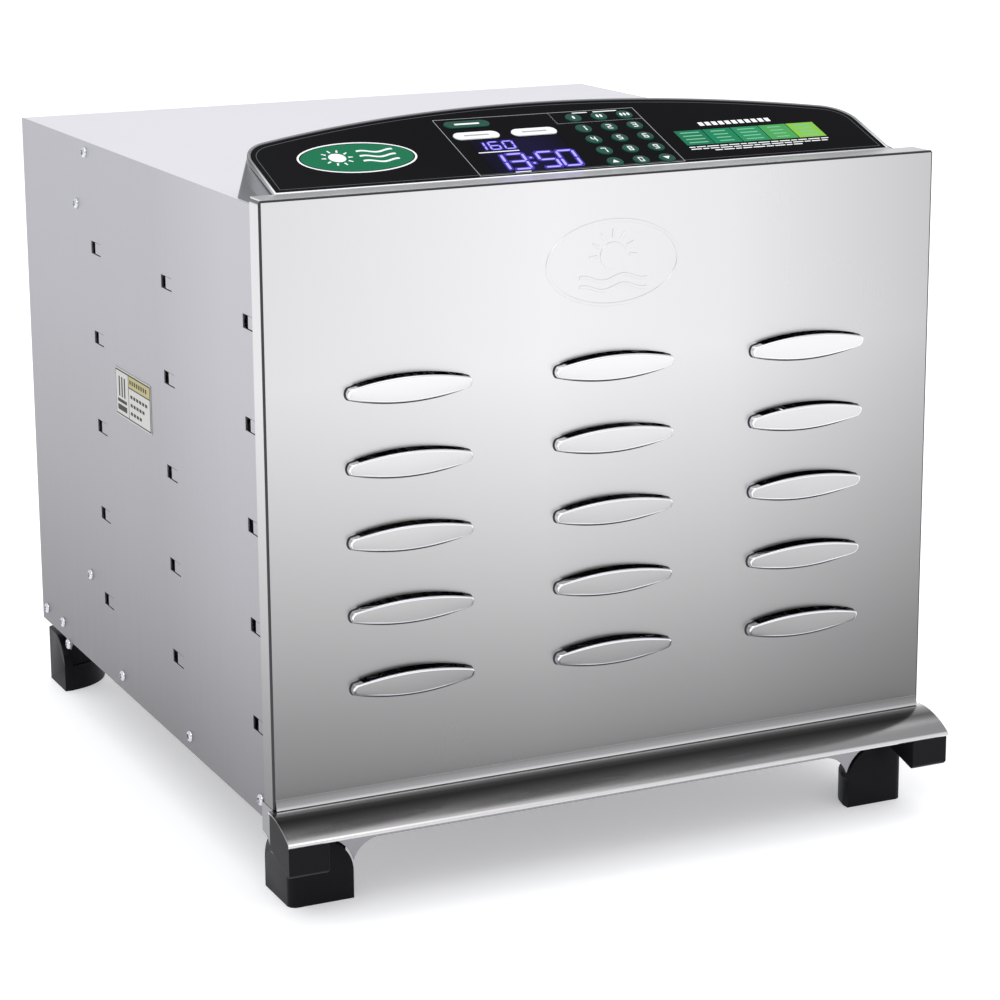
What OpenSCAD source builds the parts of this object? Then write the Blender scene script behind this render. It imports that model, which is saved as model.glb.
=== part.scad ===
// Countertop food dehydrator: a folded steel cabinet on four corner feet. A cap-shaped
// louvred door closes the front, five wire trays ride on tabs lanced from the side
// panels, a fan and a ring heater sit behind a bulkhead, and a sloping control
// console with a keypad stands on the front of the roof.
// Millimetres. +Z is up, the door faces -Y, and the origin is under the middle.

/* [Cabinet] */
// Width over the side panels
body_w = 430; // [390:1:520]
// Depth of the side panels, front edge to back edge
body_d = 462; // [430:1:560]
// Height of the side panels
body_h = 358; // [350:1:430]
// Height of the side panels' bottom edge above the table
body_lift = 50; // [46:1:60]
// Thickness of the steel sheet
sheet = 1; // [0.8:0.1:1.2]
// Width of the fold along the front edge of each side panel
front_fold = 5; // [4:1:7]
// Height of the folded lips that the panels are screwed through
lip = 16; // [14:1:24]
// Distance from the back edge of the side panels to the bulkhead
fan_bay_d = 128; // [120:1:150]

/* [Door] */
// Depth of the flange around the door
door_flange = 19; // [14:1:24]
// Depth of the side flanges, measured from the door's front
door_side_flange = 14.5; // [12:0.5:18]
// Gap between the door flange and the side panels
door_gap = 1; // [0.6:0.1:2]
// Gap between the door skin and the front edges of the cabinet
door_seal_gap = 2; // [1:0.5:4]
// Height of the door's top edge above the roof
door_rise = 4.5; // [3:0.5:8]
// Height of the door's bottom edge above the side panels' bottom edge
door_step = 12; // [12:0.5:16]
// How far the bottom edge of the door flares forward
door_flare = 2; // [1:0.5:3]
// Louvre length
louvre_w = 77; // [50:1:95]
// Louvre height
louvre_h = 16; // [12:1:20]
// How far a louvre stands out of the door at its upper edge
louvre_out = 8; // [5:0.5:10]
// Distance between the louvre columns
louvre_pitch_x = 130; // [105:1:150]
// Distance between the louvre rows
louvre_pitch_z = 43.2; // [30:0.1:48]
// Distance from the door's top edge to the middle of the first louvre row
louvre_drop = 112; // [90:1:120]
// Length of the embossed badge field
emboss_w = 87; // [50:1:110]
// Height of the embossed badge field
emboss_h = 51; // [30:1:60]

/* [Ledge] */
// How far the ledge stands out in front of the door
ledge_reach = 32; // [24:1:40]
// How far the ledge stands out past each side of the door
ledge_over = 3; // [0:0.5:8]
// Radius of the ledge's rounded top
ledge_r = 54; // [48:1:80]
// Width of each end cap under the ledge
cap_w = 25; // [16:1:32]
// Height of the bottom of the end caps above the table
cap_z = 31; // [28:1:36]
// How far the bottom of the end caps rises towards the back
cap_rise = 8; // [0:1:12]

/* [Feet] */
// Length of a foot along each side
foot_leg = 40; // [34:1:44]
// Height of the quarter-round base of a foot
foot_base = 18; // [12:1:20]
// Height of the arched boss of a foot
foot_boss = 38; // [34:1:40]
// Radius of the arch on a foot
foot_arch = 21; // [16:1:24]
// Thickness of the arched walls
foot_wall = 6; // [4:1:8]
// Distance from the side panel's outer face to the foot
foot_inset = 7; // [5:1:10]
// How far the rear feet stand out behind the cabinet
foot_tail = 16; // [8:1:24]
// Height of the skirt's lower edge above the table
skirt_z = 35; // [32:1:38]

/* [Trays] */
// Number of trays
tray_count = 5; // [3:1:5]
// Distance between the trays
tray_pitch = 59; // [54:1:62]
// Height of the lowest tray tabs above the side panels' bottom edge
tray_first = 58.5; // [50:0.5:60]
// Thickness of a tray's rim
tray_rim = 5; // [4:0.5:6]
// Thickness of a tray's wires
tray_wire = 2; // [1.5:0.5:3]
// Clearance above a tab and beside a tray
tray_gap = 0.3; // [0.2:0.1:0.6]
// Length of a lanced tab before it is bent
tab_l = 19; // [17:0.5:21]
// Height of a lanced tab
tab_h = 7.2; // [6:0.2:10]
// Overlap of a tab and the tray it carries
tab_overlap = 2; // [1.5:0.5:4]

/* [Console] */
// Slope of the fascia
console_slope = 20; // [14:1:26]
// Half width of the fascia's frame
console_hw = 200; // [180:1:200]
// Depth of the fascia's frame up the slope at its middle
console_peak = 91; // [84:1:100]
// Radius of the rear edge, seen square on
console_r = 600; // [500:10:900]
// Corner radius of the fascia's frame
console_corner = 22; // [14:1:28]
// Depth of the console's footprint on the roof at its middle
console_foot = 70; // [60:1:80]
// Thickness of the fascia
fascia_t = 3; // [2.5:0.5:3.5]
// Width of the bright trim around the fascia
trim_w = 2; // [1.5:0.5:2.5]
// Diameter of a round key
key_d = 10.4; // [8:0.2:12]
// Length of a pill key
pill_w = 29.5; // [24:0.5:31]
// Height of a pill key
pill_h = 8.6; // [7:0.2:9]
// Distance between key columns
key_pitch_u = 17.2; // [15:0.1:18]
// Distance between key rows
key_pitch_s = 14.4; // [13:0.1:15]
// Height that the keys stand above the fascia
key_proud = 0.5; // [0.4:0.1:0.8]
// Clearance around each key
key_gap = 0.3; // [0.2:0.1:0.4]

/* [Fan] */
// Radius of the opening in the bulkhead
fan_hole_r = 80; // [70:1:90]
// Radius of the fan blades
fan_r = 72; // [60:1:74]
// Radius of the fan shaft
shaft_r = 4; // [3:0.5:5]
// Radius of the motor can
motor_r = 32; // [26:1:38]
// Radius of the ring heater
heater_r = 97; // [92:1:110]
// Radius of the heater tube
heater_tube = 3.2; // [2.6:0.1:4]

/* [Hidden] */
$fn = 48;
eps = 0.01;
// Levels
z_bot = body_lift;
z_top = body_lift + body_h;
z_floor = z_bot + sheet;
// Stations along Y, with the ledge's edge and the rear feet equally far from the origin
total_d = ledge_reach + sheet + door_seal_gap + body_d + foot_tail;
y_ledge = -total_d / 2;
y_door = y_ledge + ledge_reach;
y_front = y_door + sheet + door_seal_gap;
y_back = y_front + body_d;
y_tail = y_back + foot_tail;
y_flange = y_door + door_flange;
y_bulk = y_back - fan_bay_d;
// Half widths
hw = body_w / 2;
hw_in = hw - sheet;
rear_fold_hw = hw - 10;
hw_door = hw + door_gap + sheet;
hw_ledge = hw_door + ledge_over;
// Door
z_door = z_bot + door_step;
z_door_top = z_top + door_rise;
louvre_end = 4.2;
louvre_tip = louvre_w / 2 + 9.5;
louvre_arc = (pow(louvre_tip, 2) + pow(louvre_h / 2, 2)) / louvre_h;
louvre_cols = 3;
louvre_rows = 5;
// Ledge
z_ledge = z_door - 0.5;
// Feet
foot_y_front = y_front - sheet - 1;
x_foot = hw - foot_inset;
foot_top = z_bot;
foot_pilot = 2.1;
foot_post = 13;
foot_post_rear = foot_tail + 10;
skirt_arch = foot_arch + 1.5;
// Side screws: distance behind the door flange, height above the side panels' bottom edge
screw_r = 1.5;
screw_hole = 1.6;
screw_head_r = 3.6;
screw_head_h = 2;
lip_row = 10;
side_screws = [
    [y_front + 22, z_bot + lip_row],
    [y_front + 145, z_bot + lip_row],
    [y_front + 278, z_bot + lip_row],
    [y_back - 50, z_bot + lip_row],
    [y_back - 12, z_bot + lip_row],
    [y_bulk + 7, z_bot + 63],
    [y_bulk + 7, z_top - 43],
    [y_bulk - 15, z_top - 7],
];
tooth_y = y_back - 61;
tooth_z = z_bot - 3;
// Trays
tray_side = 1.5;
tab_slit = 0.8;
tab_slit_top = 0.2;
tab_root = 0.6;
tab_in = front_fold + tray_side + tab_overlap;
tab_flat = tab_l - tab_in;
// Front edge of each tab window along Y
tab_ys = [y_front + 13, y_front + 154, y_bulk - 41];
tray_hw = hw - sheet - front_fold - tray_side;
tray_y0 = y_front + 5.5;
tray_y1 = y_bulk - 8.5;
tray_bars = 18;
tray_cross = 5;
// Console
y_console = y_flange + 1;
z_console = z_top + 4;
console_wall = 3;
console_foot_corner = 14;
fascia_inset = trim_w + 0.2;
board_n = -6;
board_t = 1.4;
pad_top = -3.2;
key_bottom = -2.2;
key_col = 16;
key_row = 9.2;
pill_col = -54;
power_row = 67.6;
pill_row = 53;
lens_u0 = -62.5;
lens_u1 = -3.5;
lens_s0 = 6;
lens_s1 = 47;
// Fan
z_fan = z_bot + body_h / 2 - 4;
y_blade = y_bulk + 9;
blade_w = 18;
y_mount = y_blade + blade_w + 22;
motor_l = 44;
shaft_gap = 0.05;
hub_gap = 0.02;
arm_x = heater_r + heater_tube + 4;
guard_screws = 4;
// Rear services
inlet_x = hw - 65;
inlet_z = z_bot + 44;
inlet_w = 48;
inlet_h = 28;
harness_r = 3.5;
harness_x = 178;
harness_y = y_console + 26;
probe_x = 120;
probe_z = z_top - 38;

// Helpers

// A box given by its two corners
module span(a, b) {
    translate(a)
        cube([b[0] - a[0], b[1] - a[1], b[2] - a[2]]);
}

// A cylinder along +X, +Y from a point
module rod_x(p, r, l) {
    translate(p)
        rotate([0, 90, 0])
            cylinder(r = r, h = l);
}

module rod_y(p, r, l) {
    translate(p)
        rotate([-90, 0, 0])
            cylinder(r = r, h = l);
}

module both_sides() {
    children();
    mirror([1, 0, 0])
        children();
}

// An XZ outline pulled along Y
module pull_y(y0, y1) {
    translate([0, y1, 0])
        rotate([90, 0, 0])
            linear_extrude(y1 - y0)
                children();
}

// A YZ outline pulled along X
module pull_x(x0, x1) {
    translate([x0, 0, 0])
        rotate([90, 0, 90])
            linear_extrude(x1 - x0)
                children();
}

// Clearance holes for the side screws
module side_screw_holes() {
    both_sides()
        for (s = side_screws)
            rod_x([-hw - 2, s[0], s[1]], screw_hole, 8);
}

// The sloping frame of the console: X across, Y up the slope, Z out of the fascia
module on_slope() {
    translate([0, y_console, z_console])
        rotate([console_slope, 0, 0])
            children();
}

// Outline with a straight front, straight sides, round corners and an arched rear edge
function arch_outline(w, peak, r, rc, inset) =
    let (cx = w - rc,
         cy = peak - r + sqrt(pow(r - rc, 2) - cx * cx),
         turn = atan2(cy - peak + r, cx),
         corner = 6,
         arch = 20)
    concat(
        [[w - inset, inset]],
        [for (i = [0:corner])
            let (a = turn * i / corner) [cx + (rc - inset) * cos(a), cy + (rc - inset) * sin(a)]],
        [for (i = [1:arch - 1])
            let (a = turn + (180 - 2 * turn) * i / arch)
                [(r - inset) * cos(a), peak - r + (r - inset) * sin(a)]],
        [for (i = [0:corner])
            let (a = 180 - turn + turn * i / corner) [-cx + (rc - inset) * cos(a), cy + (rc - inset) * sin(a)]],
        [[-w + inset, inset]]);

module frame_outline(inset) {
    polygon(arch_outline(console_hw, console_peak, console_r, console_corner, inset));
}

module foot_outline(inset) {
    polygon(arch_outline(hw - 2, console_foot, console_r, console_foot_corner, inset));
}

// Places of the keys on the slope, and each key's outline
function key_at(col, row) = [key_col + col * key_pitch_u, key_row + row * key_pitch_s];

function digit_at(i) = i == 0 ? key_at(1, 0) : key_at((i - 1) % 3, 3 - floor((i - 1) / 3));

round_keys = concat(
    [for (i = [0:9]) digit_at(i)],
    [key_at(0, 0), key_at(2, 0)],
    [for (i = [0:2]) key_at(i, 4)]);
pill_keys = [[pill_col, power_row], [pill_col, pill_row], [pill_col + 37.5, pill_row]];

module pill(w, h, t) {
    translate([-(w - h) / 2, -h / 2, 0])
        cube([w - h, h, t]);
    for (s = [-1, 1])
        translate([s * (w - h) / 2, 0, 0])
            cylinder(r = h / 2, h = t);
}

module round_key(p) {
    on_slope()
        translate([p[0], p[1], key_bottom])
            cylinder(r = key_d / 2, h = key_proud - key_bottom);
}

module pill_key(p) {
    on_slope()
        translate([p[0], p[1], key_bottom])
            pill(pill_w, pill_h, key_proud - key_bottom);
}

// Cabinet

// Floor with side lips, a front skirt notched over the feet, and corner returns
module base_pan() {
    arch_x = x_foot - foot_leg + foot_arch;
    arch_z = foot_boss - foot_arch;
    tooth_x = x_foot - foot_leg;
    color("silver")
    difference() {
        union() {
            span([-hw_in, y_front, z_bot], [hw_in, y_back, z_floor]);
            both_sides()
                span([-hw_in, y_front + sheet, z_bot], [-hw_in + sheet, y_back, z_floor + lip]);
            pull_y(y_front - sheet, y_front)
                difference() {
                    union() {
                        translate([-hw_door, skirt_z])
                            square([2 * hw_door, z_ledge - sheet - skirt_z]);
                        both_sides()
                            translate([-tooth_x - 7, skirt_z - 12])
                                square([22, 13]);
                    }
                    both_sides()
                        translate([-arch_x, arch_z])
                            circle(r = skirt_arch);
                    both_sides()
                        translate([-x_foot - 3, 0])
                            square([x_foot + 3 - arch_x, foot_boss + 1.5]);
                    both_sides()
                        translate([-tooth_x + 17, skirt_z - 17])
                            circle(r = 17);
                }
            both_sides()
                pull_x(-hw_door, -hw_door + sheet)
                    difference() {
                        translate([y_front - sheet, skirt_z])
                            square([y_flange - y_front + sheet, z_door - 0.3 - skirt_z]);
                        translate([y_flange, skirt_z - 6])
                            circle(r = 15);
                    }
            both_sides()
                span([-hw_door, y_front - sheet, z_bot], [-hw_in, y_front, z_floor]);
            span([-rear_fold_hw, y_back - sheet, z_bot], [rear_fold_hw, y_back, z_bot + lip]);
        }
        side_screw_holes();
        rear_screw_places()
            rod_y([0, -3, 0], screw_hole, 4);
        for (x = [-1, 1])
            for (y = [foot_y_front + foot_post, y_tail - foot_post_rear])
                translate([x * (x_foot - foot_post), y, z_bot - 1])
                    cylinder(r = foot_pilot, h = 5);
    }
}

// Side panel with a front fold, lanced tray tabs and a tooth in front of the rear foot
module side_panel() {
    color("lightsteelblue")
    union() {
        difference() {
            union() {
                span([-hw, y_front, z_bot], [-hw_in, y_back, z_top]);
                span([-hw, y_front, z_floor], [-hw_in + front_fold, y_front + sheet, z_top - sheet]);
                pull_x(-hw, -hw_in)
                    difference() {
                        translate([tooth_y - 7, z_bot - 7])
                            square([13, 8]);
                        translate([tooth_y + 9, z_bot - 13])
                            circle(r = 13);
                        translate([tooth_y - 13, z_bot - 12])
                            circle(r = 12);
                    }
            }
            for (i = [1:tray_count])
                for (y = tab_ys)
                    span([-hw - 1, y, tab_top(i) - tab_h - tab_slit],
                         [-hw_in + eps, y + tab_l, tab_top(i) + tab_slit_top]);
            side_screw_holes();
            rod_x([-hw - 1, tooth_y, tooth_z], screw_hole, 3);
        }
        for (i = [1:tray_count])
            for (y = tab_ys)
                {
                    span([-hw, y - tab_root, tab_top(i) - tab_h], [-hw_in, y + tab_flat, tab_top(i)]);
                    span([-hw, y + tab_flat - sheet, tab_top(i) - tab_h],
                         [-hw_in + tab_in, y + tab_flat, tab_top(i)]);
                }
    }
}

function tab_top(i) = z_bot + tray_first + (i - 1) * tray_pitch;

module side_panel_left() {
    side_panel();
}

module side_panel_right() {
    mirror([1, 0, 0])
        side_panel();
}

// Roof sheet with lips folded down inside the side panels
module top_cover() {
    color("whitesmoke")
    difference() {
        union() {
            span([-hw_in, y_front, z_top - sheet], [hw_in, y_back, z_top]);
            both_sides()
                span([-hw_in, y_front + sheet, z_top - lip], [-hw_in + sheet, y_back, z_top]);
            span([-hw_in + front_fold, y_front, z_top - lip], [hw_in - front_fold, y_front + sheet, z_top]);
            span([-rear_fold_hw, y_back - sheet, z_top - lip], [rear_fold_hw, y_back, z_top]);
        }
        side_screw_holes();
        rear_screw_places()
            rod_y([0, -3, 0], screw_hole, 4);
        translate([harness_x, harness_y, z_top - 3])
            cylinder(r = harness_r + 0.5, h = 6);
    }
}

// Back sheet with intake slots, an inlet cut-out and two side flanges
module rear_panel() {
    x0 = hw_in - sheet;
    z_gap = lip + 1.5;
    color("silver")
    difference() {
        union() {
            span([-hw + 0.5, y_back, z_bot + 0.5], [hw - 0.5, y_back + sheet, z_top - 0.5]);
            both_sides()
                span([-x0, y_back - 12, z_bot + z_gap], [-x0 + sheet, y_back + eps, z_top - z_gap]);
        }
        for (i = [0:8])
            for (s = [-1, 1])
                span([s * 52 - 44, y_back - 1, z_fan - 62 + i * 15],
                     [s * 52 + 44, y_back + 2, z_fan - 57 + i * 15]);
        span([inlet_x - inlet_w / 2 + 8, y_back - 1, inlet_z - inlet_h / 2 + 2],
             [inlet_x + inlet_w / 2 - 8, y_back + 2, inlet_z + inlet_h / 2 - 2]);
        side_screw_holes();
        rear_screw_places()
            rod_y([0, -3, 0], screw_hole, 8);
    }
}

module rear_screw_places() {
    for (x = [-1, 1])
        for (z = [z_bot + lip_row, z_top - lip_row])
            translate([x * (hw - 30), y_back, z])
                children();
}

// Bulkhead between the drying chamber and the fan bay
module fan_bulkhead() {
    x0 = hw_in - sheet;
    color("gainsboro")
    difference() {
        union() {
            span([-x0, y_bulk, z_floor], [x0, y_bulk + sheet, z_top - sheet]);
            both_sides()
                span([-x0, y_bulk, z_floor + lip], [-x0 + sheet, y_bulk + 14, z_top - lip - sheet]);
            both_sides()
                span([-x0 - sheet, y_bulk, z_floor + lip], [-x0 + sheet, y_bulk + 14, z_top - lip - sheet]);
            for (a = [30, 150, 270])
                translate([heater_r * cos(a), y_bulk + sheet, z_fan + heater_r * sin(a)])
                    span([-6, 0, -6], [6, 2.8, 6]);
        }
        rod_y([0, y_bulk - 1, z_fan], fan_hole_r, 3);
        side_screw_holes();
        guard_places()
            rod_y([0, -2, 0], screw_hole, 6);
        rod_y([harness_x, y_bulk - 1, z_top - 24], harness_r + 0.5, 4);
        rod_y([probe_x, y_bulk - 1, probe_z], 3, 4);
    }
}

module guard_places() {
    for (i = [0:guard_screws - 1])
        translate([(fan_hole_r + 5) * cos(45 + 90 * i), y_bulk, z_fan + (fan_hole_r + 5) * sin(45 + 90 * i)])
            children();
}

// Rounded ledge under the door, with a hemmed edge and a flange behind
module front_ledge() {
    color("silver")
    union() {
        intersection() {
            difference() {
                rod_x([-hw_ledge, y_door, z_ledge - ledge_r], ledge_r, 2 * hw_ledge);
                rod_x([-hw_ledge - 1, y_door, z_ledge - ledge_r], ledge_r - sheet, 2 * hw_ledge + 2);
            }
            span([-hw_ledge, y_ledge, z_ledge - ledge_r], [hw_ledge, y_door, z_ledge]);
        }
        rod_x([-hw_ledge, y_ledge + 1, ledge_edge_z - 0.6], 1, 2 * hw_ledge);
        span([-hw_door, y_door - eps, z_ledge - sheet], [hw_door, y_front - sheet, z_ledge]);
        span([-hw_door, y_front - 2 * sheet, z_bot], [hw_door, y_front - sheet, z_ledge]);
    }
}

ledge_edge_z = z_ledge - ledge_r + sqrt(pow(ledge_r, 2) - pow(ledge_reach, 2));

// Moulded cap that closes the end of the ledge
module ledge_cap() {
    y0 = y_ledge + 2;
    y1 = y_front - 2 * sheet - 0.2;
    color("#202224")
    intersection() {
        pull_x(-hw_ledge + 0.3, -hw_ledge + cap_w)
            polygon([[y0, cap_z + 2], [y0 + 2, cap_z], [y1, cap_z + cap_rise], [y1, z_ledge], [y0, z_ledge]]);
        rod_x([-hw_ledge, y_door, z_ledge - ledge_r], ledge_r - sheet - 0.1, cap_w + 1);
    }
}

module ledge_cap_left() {
    ledge_cap();
}

module ledge_cap_right() {
    mirror([1, 0, 0])
        ledge_cap();
}

// Foot in its own corner: X and Y run inwards from the outer corner
module corner_foot(post_y) {
    ring = 5;
    color("#202224")
    difference() {
        union() {
            linear_extrude(foot_base)
                intersection() {
                    circle(r = foot_leg);
                    union() {
                        translate([ring, 0])
                            square([foot_leg, foot_leg]);
                        translate([0, ring])
                            square([foot_leg, foot_leg]);
                        translate([ring, ring])
                            circle(r = ring);
                    }
                }
            intersection() {
                boss_wall();
                linear_extrude(foot_boss + 1)
                    union() {
                        translate([ring, 0])
                            square([foot_leg, foot_leg]);
                        translate([0, ring])
                            square([foot_leg, foot_leg]);
                        translate([ring, ring])
                            circle(r = ring);
                    }
            }
            linear_extrude(foot_top)
                intersection() {
                    circle(r = foot_leg - 2);
                    translate([foot_wall - eps, foot_wall - eps])
                        square([foot_leg, foot_leg]);
                }
        }
        translate([foot_post, post_y, foot_top - 16])
            cylinder(r = foot_pilot, h = 17);
    }
}

// The two arched outer walls of a foot
module boss_wall() {
    for (turn = [0, 1])
        mirror([turn, -turn, 0])
            pull_y(0, foot_wall)
                intersection() {
                    square([foot_leg, foot_boss]);
                    union() {
                        square([foot_leg - foot_arch, foot_boss]);
                        square([foot_leg, foot_boss - foot_arch]);
                        translate([foot_leg - foot_arch, foot_boss - foot_arch])
                            circle(r = foot_arch);
                    }
                }
}

module foot_front_left() {
    translate([-x_foot, foot_y_front, 0])
        corner_foot(foot_post);
}

module foot_front_right() {
    mirror([1, 0, 0])
        foot_front_left();
}

module foot_rear_left() {
    translate([-x_foot, y_tail, 0])
        mirror([0, 1, 0])
            corner_foot(foot_post_rear);
}

module foot_rear_right() {
    mirror([1, 0, 0])
        foot_rear_left();
}

module foot_screws() {
    color("gray")
    for (x = [-1, 1])
        for (y = [foot_y_front + foot_post, y_tail - foot_post_rear])
            translate([x * (x_foot - foot_post), y, 0]) {
                translate([0, 0, z_floor])
                    cylinder(r = 4, h = 2.5);
                translate([0, 0, foot_top - 12])
                    cylinder(r = foot_pilot - 0.1, h = z_floor + 12 - foot_top + eps);
            }
}

module case_screws() {
    color("gainsboro") {
        both_sides()
            for (s = concat(side_screws, [[tooth_y, tooth_z]])) {
                rod_x([-hw - screw_head_h, s[0], s[1]], screw_head_r, screw_head_h);
                rod_x([-hw - eps, s[0], s[1]], screw_r, s[1] < z_bot ? sheet : 3.5);
            }
        rear_screw_places() {
            rod_y([0, sheet, 0], screw_head_r, screw_head_h);
            rod_y([0, -4, 0], screw_r, 4 + sheet + eps);
        }
    }
}

module caution_plate() {
    color("gold")
        span([-hw - 0.4, y_front + 200, z_bot + 189], [-hw, y_front + 270, z_bot + 220]);
}

// Console

module control_housing() {
    color("#6f7276")
    difference() {
        hull() {
            on_slope()
                translate([0, 0, -fascia_t - eps])
                    linear_extrude(eps)
                        frame_outline(0);
            translate([0, y_console, z_top])
                linear_extrude(eps)
                    foot_outline(0);
        }
        hull() {
            on_slope()
                translate([0, 0, -fascia_t + 1])
                    linear_extrude(eps)
                        frame_outline(console_wall);
            translate([0, y_console, z_top - 1])
                linear_extrude(eps)
                    foot_outline(console_wall);
        }
    }
}

module control_fascia() {
    color("#101214")
    on_slope()
        difference() {
            translate([0, 0, -fascia_t])
                linear_extrude(fascia_t)
                    frame_outline(fascia_inset);
            for (p = round_keys)
                translate([p[0], p[1], -fascia_t - 1])
                    cylinder(r = key_d / 2 + key_gap, h = fascia_t + 2);
            for (p = pill_keys)
                translate([p[0], p[1], -fascia_t - 1])
                    pill(pill_w + 2 * key_gap, pill_h + 2 * key_gap, fascia_t + 2);
            span([lens_u0, lens_s0, -fascia_t - 1], [lens_u1, lens_s1, 1]);
        }
}

module fascia_trim() {
    color("white")
    on_slope()
        translate([0, 0, -fascia_t])
            linear_extrude(fascia_t + 0.5)
                difference() {
                    frame_outline(0);
                    frame_outline(trim_w);
                }
}

module display_lens() {
    color("#1a1440")
    on_slope()
        span([lens_u0 + 0.1, lens_s0 + 0.1, -2], [lens_u1 - 0.1, lens_s1 - 0.1, 0]);
}

module display_module() {
    color("#4a3fd0")
    on_slope() {
        span([lens_u0 + 1, lens_s0 + 2, board_n + board_t], [lens_u1 - 1, lens_s0 + 24, -2]);
        span([lens_u0 + 2, lens_s0 + 27, board_n + board_t], [lens_u0 + 28, lens_s1 - 1, -2]);
    }
}

// Circuit board with a switch under every key
module control_board() {
    color("darkgreen")
    on_slope() {
        span([pill_col - 21, 7.5, board_n], [key_col + 2 * key_pitch_u + 12, 76, board_n + board_t]);
        for (p = concat(round_keys, pill_keys))
            translate([p[0], p[1], board_n + board_t])
                span([-2, -1.5, 0], [2, 1.5, pad_top - board_n - board_t]);
    }
}

// Fan bay

// Tubular ring heater with two terminal legs
module heating_element() {
    color("dimgray")
    translate([0, y_bulk + sheet + 2.8 + heater_tube, z_fan])
        rotate([-90, 0, 0]) {
            rotate([0, 0, 98])
                rotate_extrude(angle = 344)
                    translate([heater_r, 0])
                        circle(r = heater_tube);
            for (a = [98, 82])
                rotate([0, 0, a])
                    translate([heater_r, 0, -heater_tube * 0.5])
                        cylinder(r = heater_tube, h = 40);
        }
}

// Ring guard over the bulkhead opening
module fan_guard() {
    t = 2.4;
    color("silver")
    difference() {
        translate([0, y_bulk, z_fan])
            rotate([90, 0, 0]) {
                for (r = [18, 36, 54, 72])
                    ring(r, r + 2.4, t);
                ring(fan_hole_r - 2, fan_hole_r + 10, t);
                cylinder(r = 8, h = t);
                for (a = [0:45:135])
                    rotate([0, 0, a])
                        translate([-fan_hole_r, -1.2, 0])
                            cube([2 * fan_hole_r, 2.4, t]);
            }
        guard_places()
            rod_y([0, -4, 0], screw_hole, 8);
    }
}

module ring(r0, r1, h) {
    difference() {
        cylinder(r = r1, h = h);
        translate([0, 0, -1])
            cylinder(r = r0, h = h + 2);
    }
}

module fan_screws() {
    color("gray") {
        guard_places() {
            rod_y([0, -4.4, 0], screw_head_r, 2);
            rod_y([0, -2.4 - eps, 0], screw_r, 6);
        }
        for (s = [-1, 1])
            for (z = [-8, 8])
                translate([s * (arm_x + 9), y_bulk + 2 * sheet + 0.6, z_fan + z])
                    rod_y([0, 0, 0], screw_head_r, 2);
    }
}

// Bridge that carries the motor behind the fan
module motor_bracket() {
    t = 1.6;
    h = 15;
    color("silver")
    difference() {
        union() {
            span([-arm_x - t, y_mount, z_fan - h], [arm_x + t, y_mount + t, z_fan + h]);
            rod_y([0, y_mount, z_fan], motor_r + 4, t);
            both_sides() {
                span([-arm_x - t, y_bulk + sheet, z_fan - h], [-arm_x, y_mount + t, z_fan + h]);
                span([-arm_x - 18, y_bulk + sheet, z_fan - h], [-arm_x, y_bulk + sheet + t, z_fan + h]);
            }
        }
        rod_y([0, y_mount - 1, z_fan], shaft_r + 4, t + 2);
    }
}

module fan_motor() {
    y0 = y_mount + 1.6;
    color("#3b3f45")
    difference() {
        union() {
            rod_y([0, y0, z_fan], motor_r, motor_l);
            rod_y([0, y0 + motor_l - eps, z_fan], motor_r * 0.4, 6);
            rod_y([0, y0 - 5, z_fan], shaft_r + 3.5, 5 + eps);
        }
        rod_y([0, y0 - 6, z_fan], shaft_r + shaft_gap, motor_l + 14);
    }
}

module fan_shaft() {
    color("lightgray")
        rod_y([0, y_blade - 4, z_fan], shaft_r, y_mount + motor_l + 6 - y_blade + 4);
}

module fan_blade() {
    color("lightgray")
    translate([0, y_blade, z_fan])
        rotate([-90, 0, 0])
            difference() {
                union() {
                    cylinder(r = 15, h = blade_w);
                    intersection() {
                        cylinder(r = fan_r, h = blade_w);
                        for (i = [0:5])
                            rotate([0, 0, 60 * i])
                                translate([0, 0, blade_w / 2])
                                    rotate([32, 0, 0])
                                        translate([8, -14, -0.8])
                                            cube([fan_r, 28, 1.6]);
                    }
                }
                translate([0, 0, -1])
                    cylinder(r = shaft_r + hub_gap, h = blade_w + 2);
            }
}

module fan_nut() {
    color("gray")
        translate([0, y_blade, z_fan])
            rotate([90, 0, 0])
                difference() {
                    cylinder(r = 8, h = 3.6, $fn = 6);
                    translate([0, 0, -1])
                        cylinder(r = shaft_r + hub_gap, h = 6);
                }
}

module temperature_probe() {
    color("silver") {
        rod_y([probe_x, y_bulk - 24, probe_z], 2.5, 30);
        rod_y([probe_x, y_bulk + sheet, probe_z], 6, 4);
    }
}

module thermal_cutout() {
    color("#3b3f45") {
        rod_y([-probe_x, y_bulk + sheet, probe_z], 9, 8);
        span([-probe_x - 12, y_bulk + sheet, probe_z - 3], [-probe_x + 12, y_bulk + sheet + 1.2, probe_z + 3]);
    }
}

// Appliance inlet: a flanged socket with three blades
module power_inlet() {
    w = inlet_w / 2 - 8.1;
    h = inlet_h / 2 - 2.1;
    y1 = y_back + sheet;
    color("#202224")
    difference() {
        union() {
            span([inlet_x - inlet_w / 2, y1, inlet_z - inlet_h / 2],
                 [inlet_x + inlet_w / 2, y1 + 3, inlet_z + inlet_h / 2]);
            span([inlet_x - w, y1 - 26, inlet_z - h], [inlet_x + w, y1 + eps, inlet_z + h]);
        }
        span([inlet_x - w + 2, y1 - 17, inlet_z - h + 2], [inlet_x + w - 2, y1 + 4, inlet_z + h - 2]);
    }
    for (p = [[-7, -2], [0, 2], [7, -2]])
        color("silver")
            span([inlet_x + p[0] - 1, y1 - 17 - eps, inlet_z + p[1] - 2],
                 [inlet_x + p[0] + 1, y1 - 2, inlet_z + p[1] + 2]);
}

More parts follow.
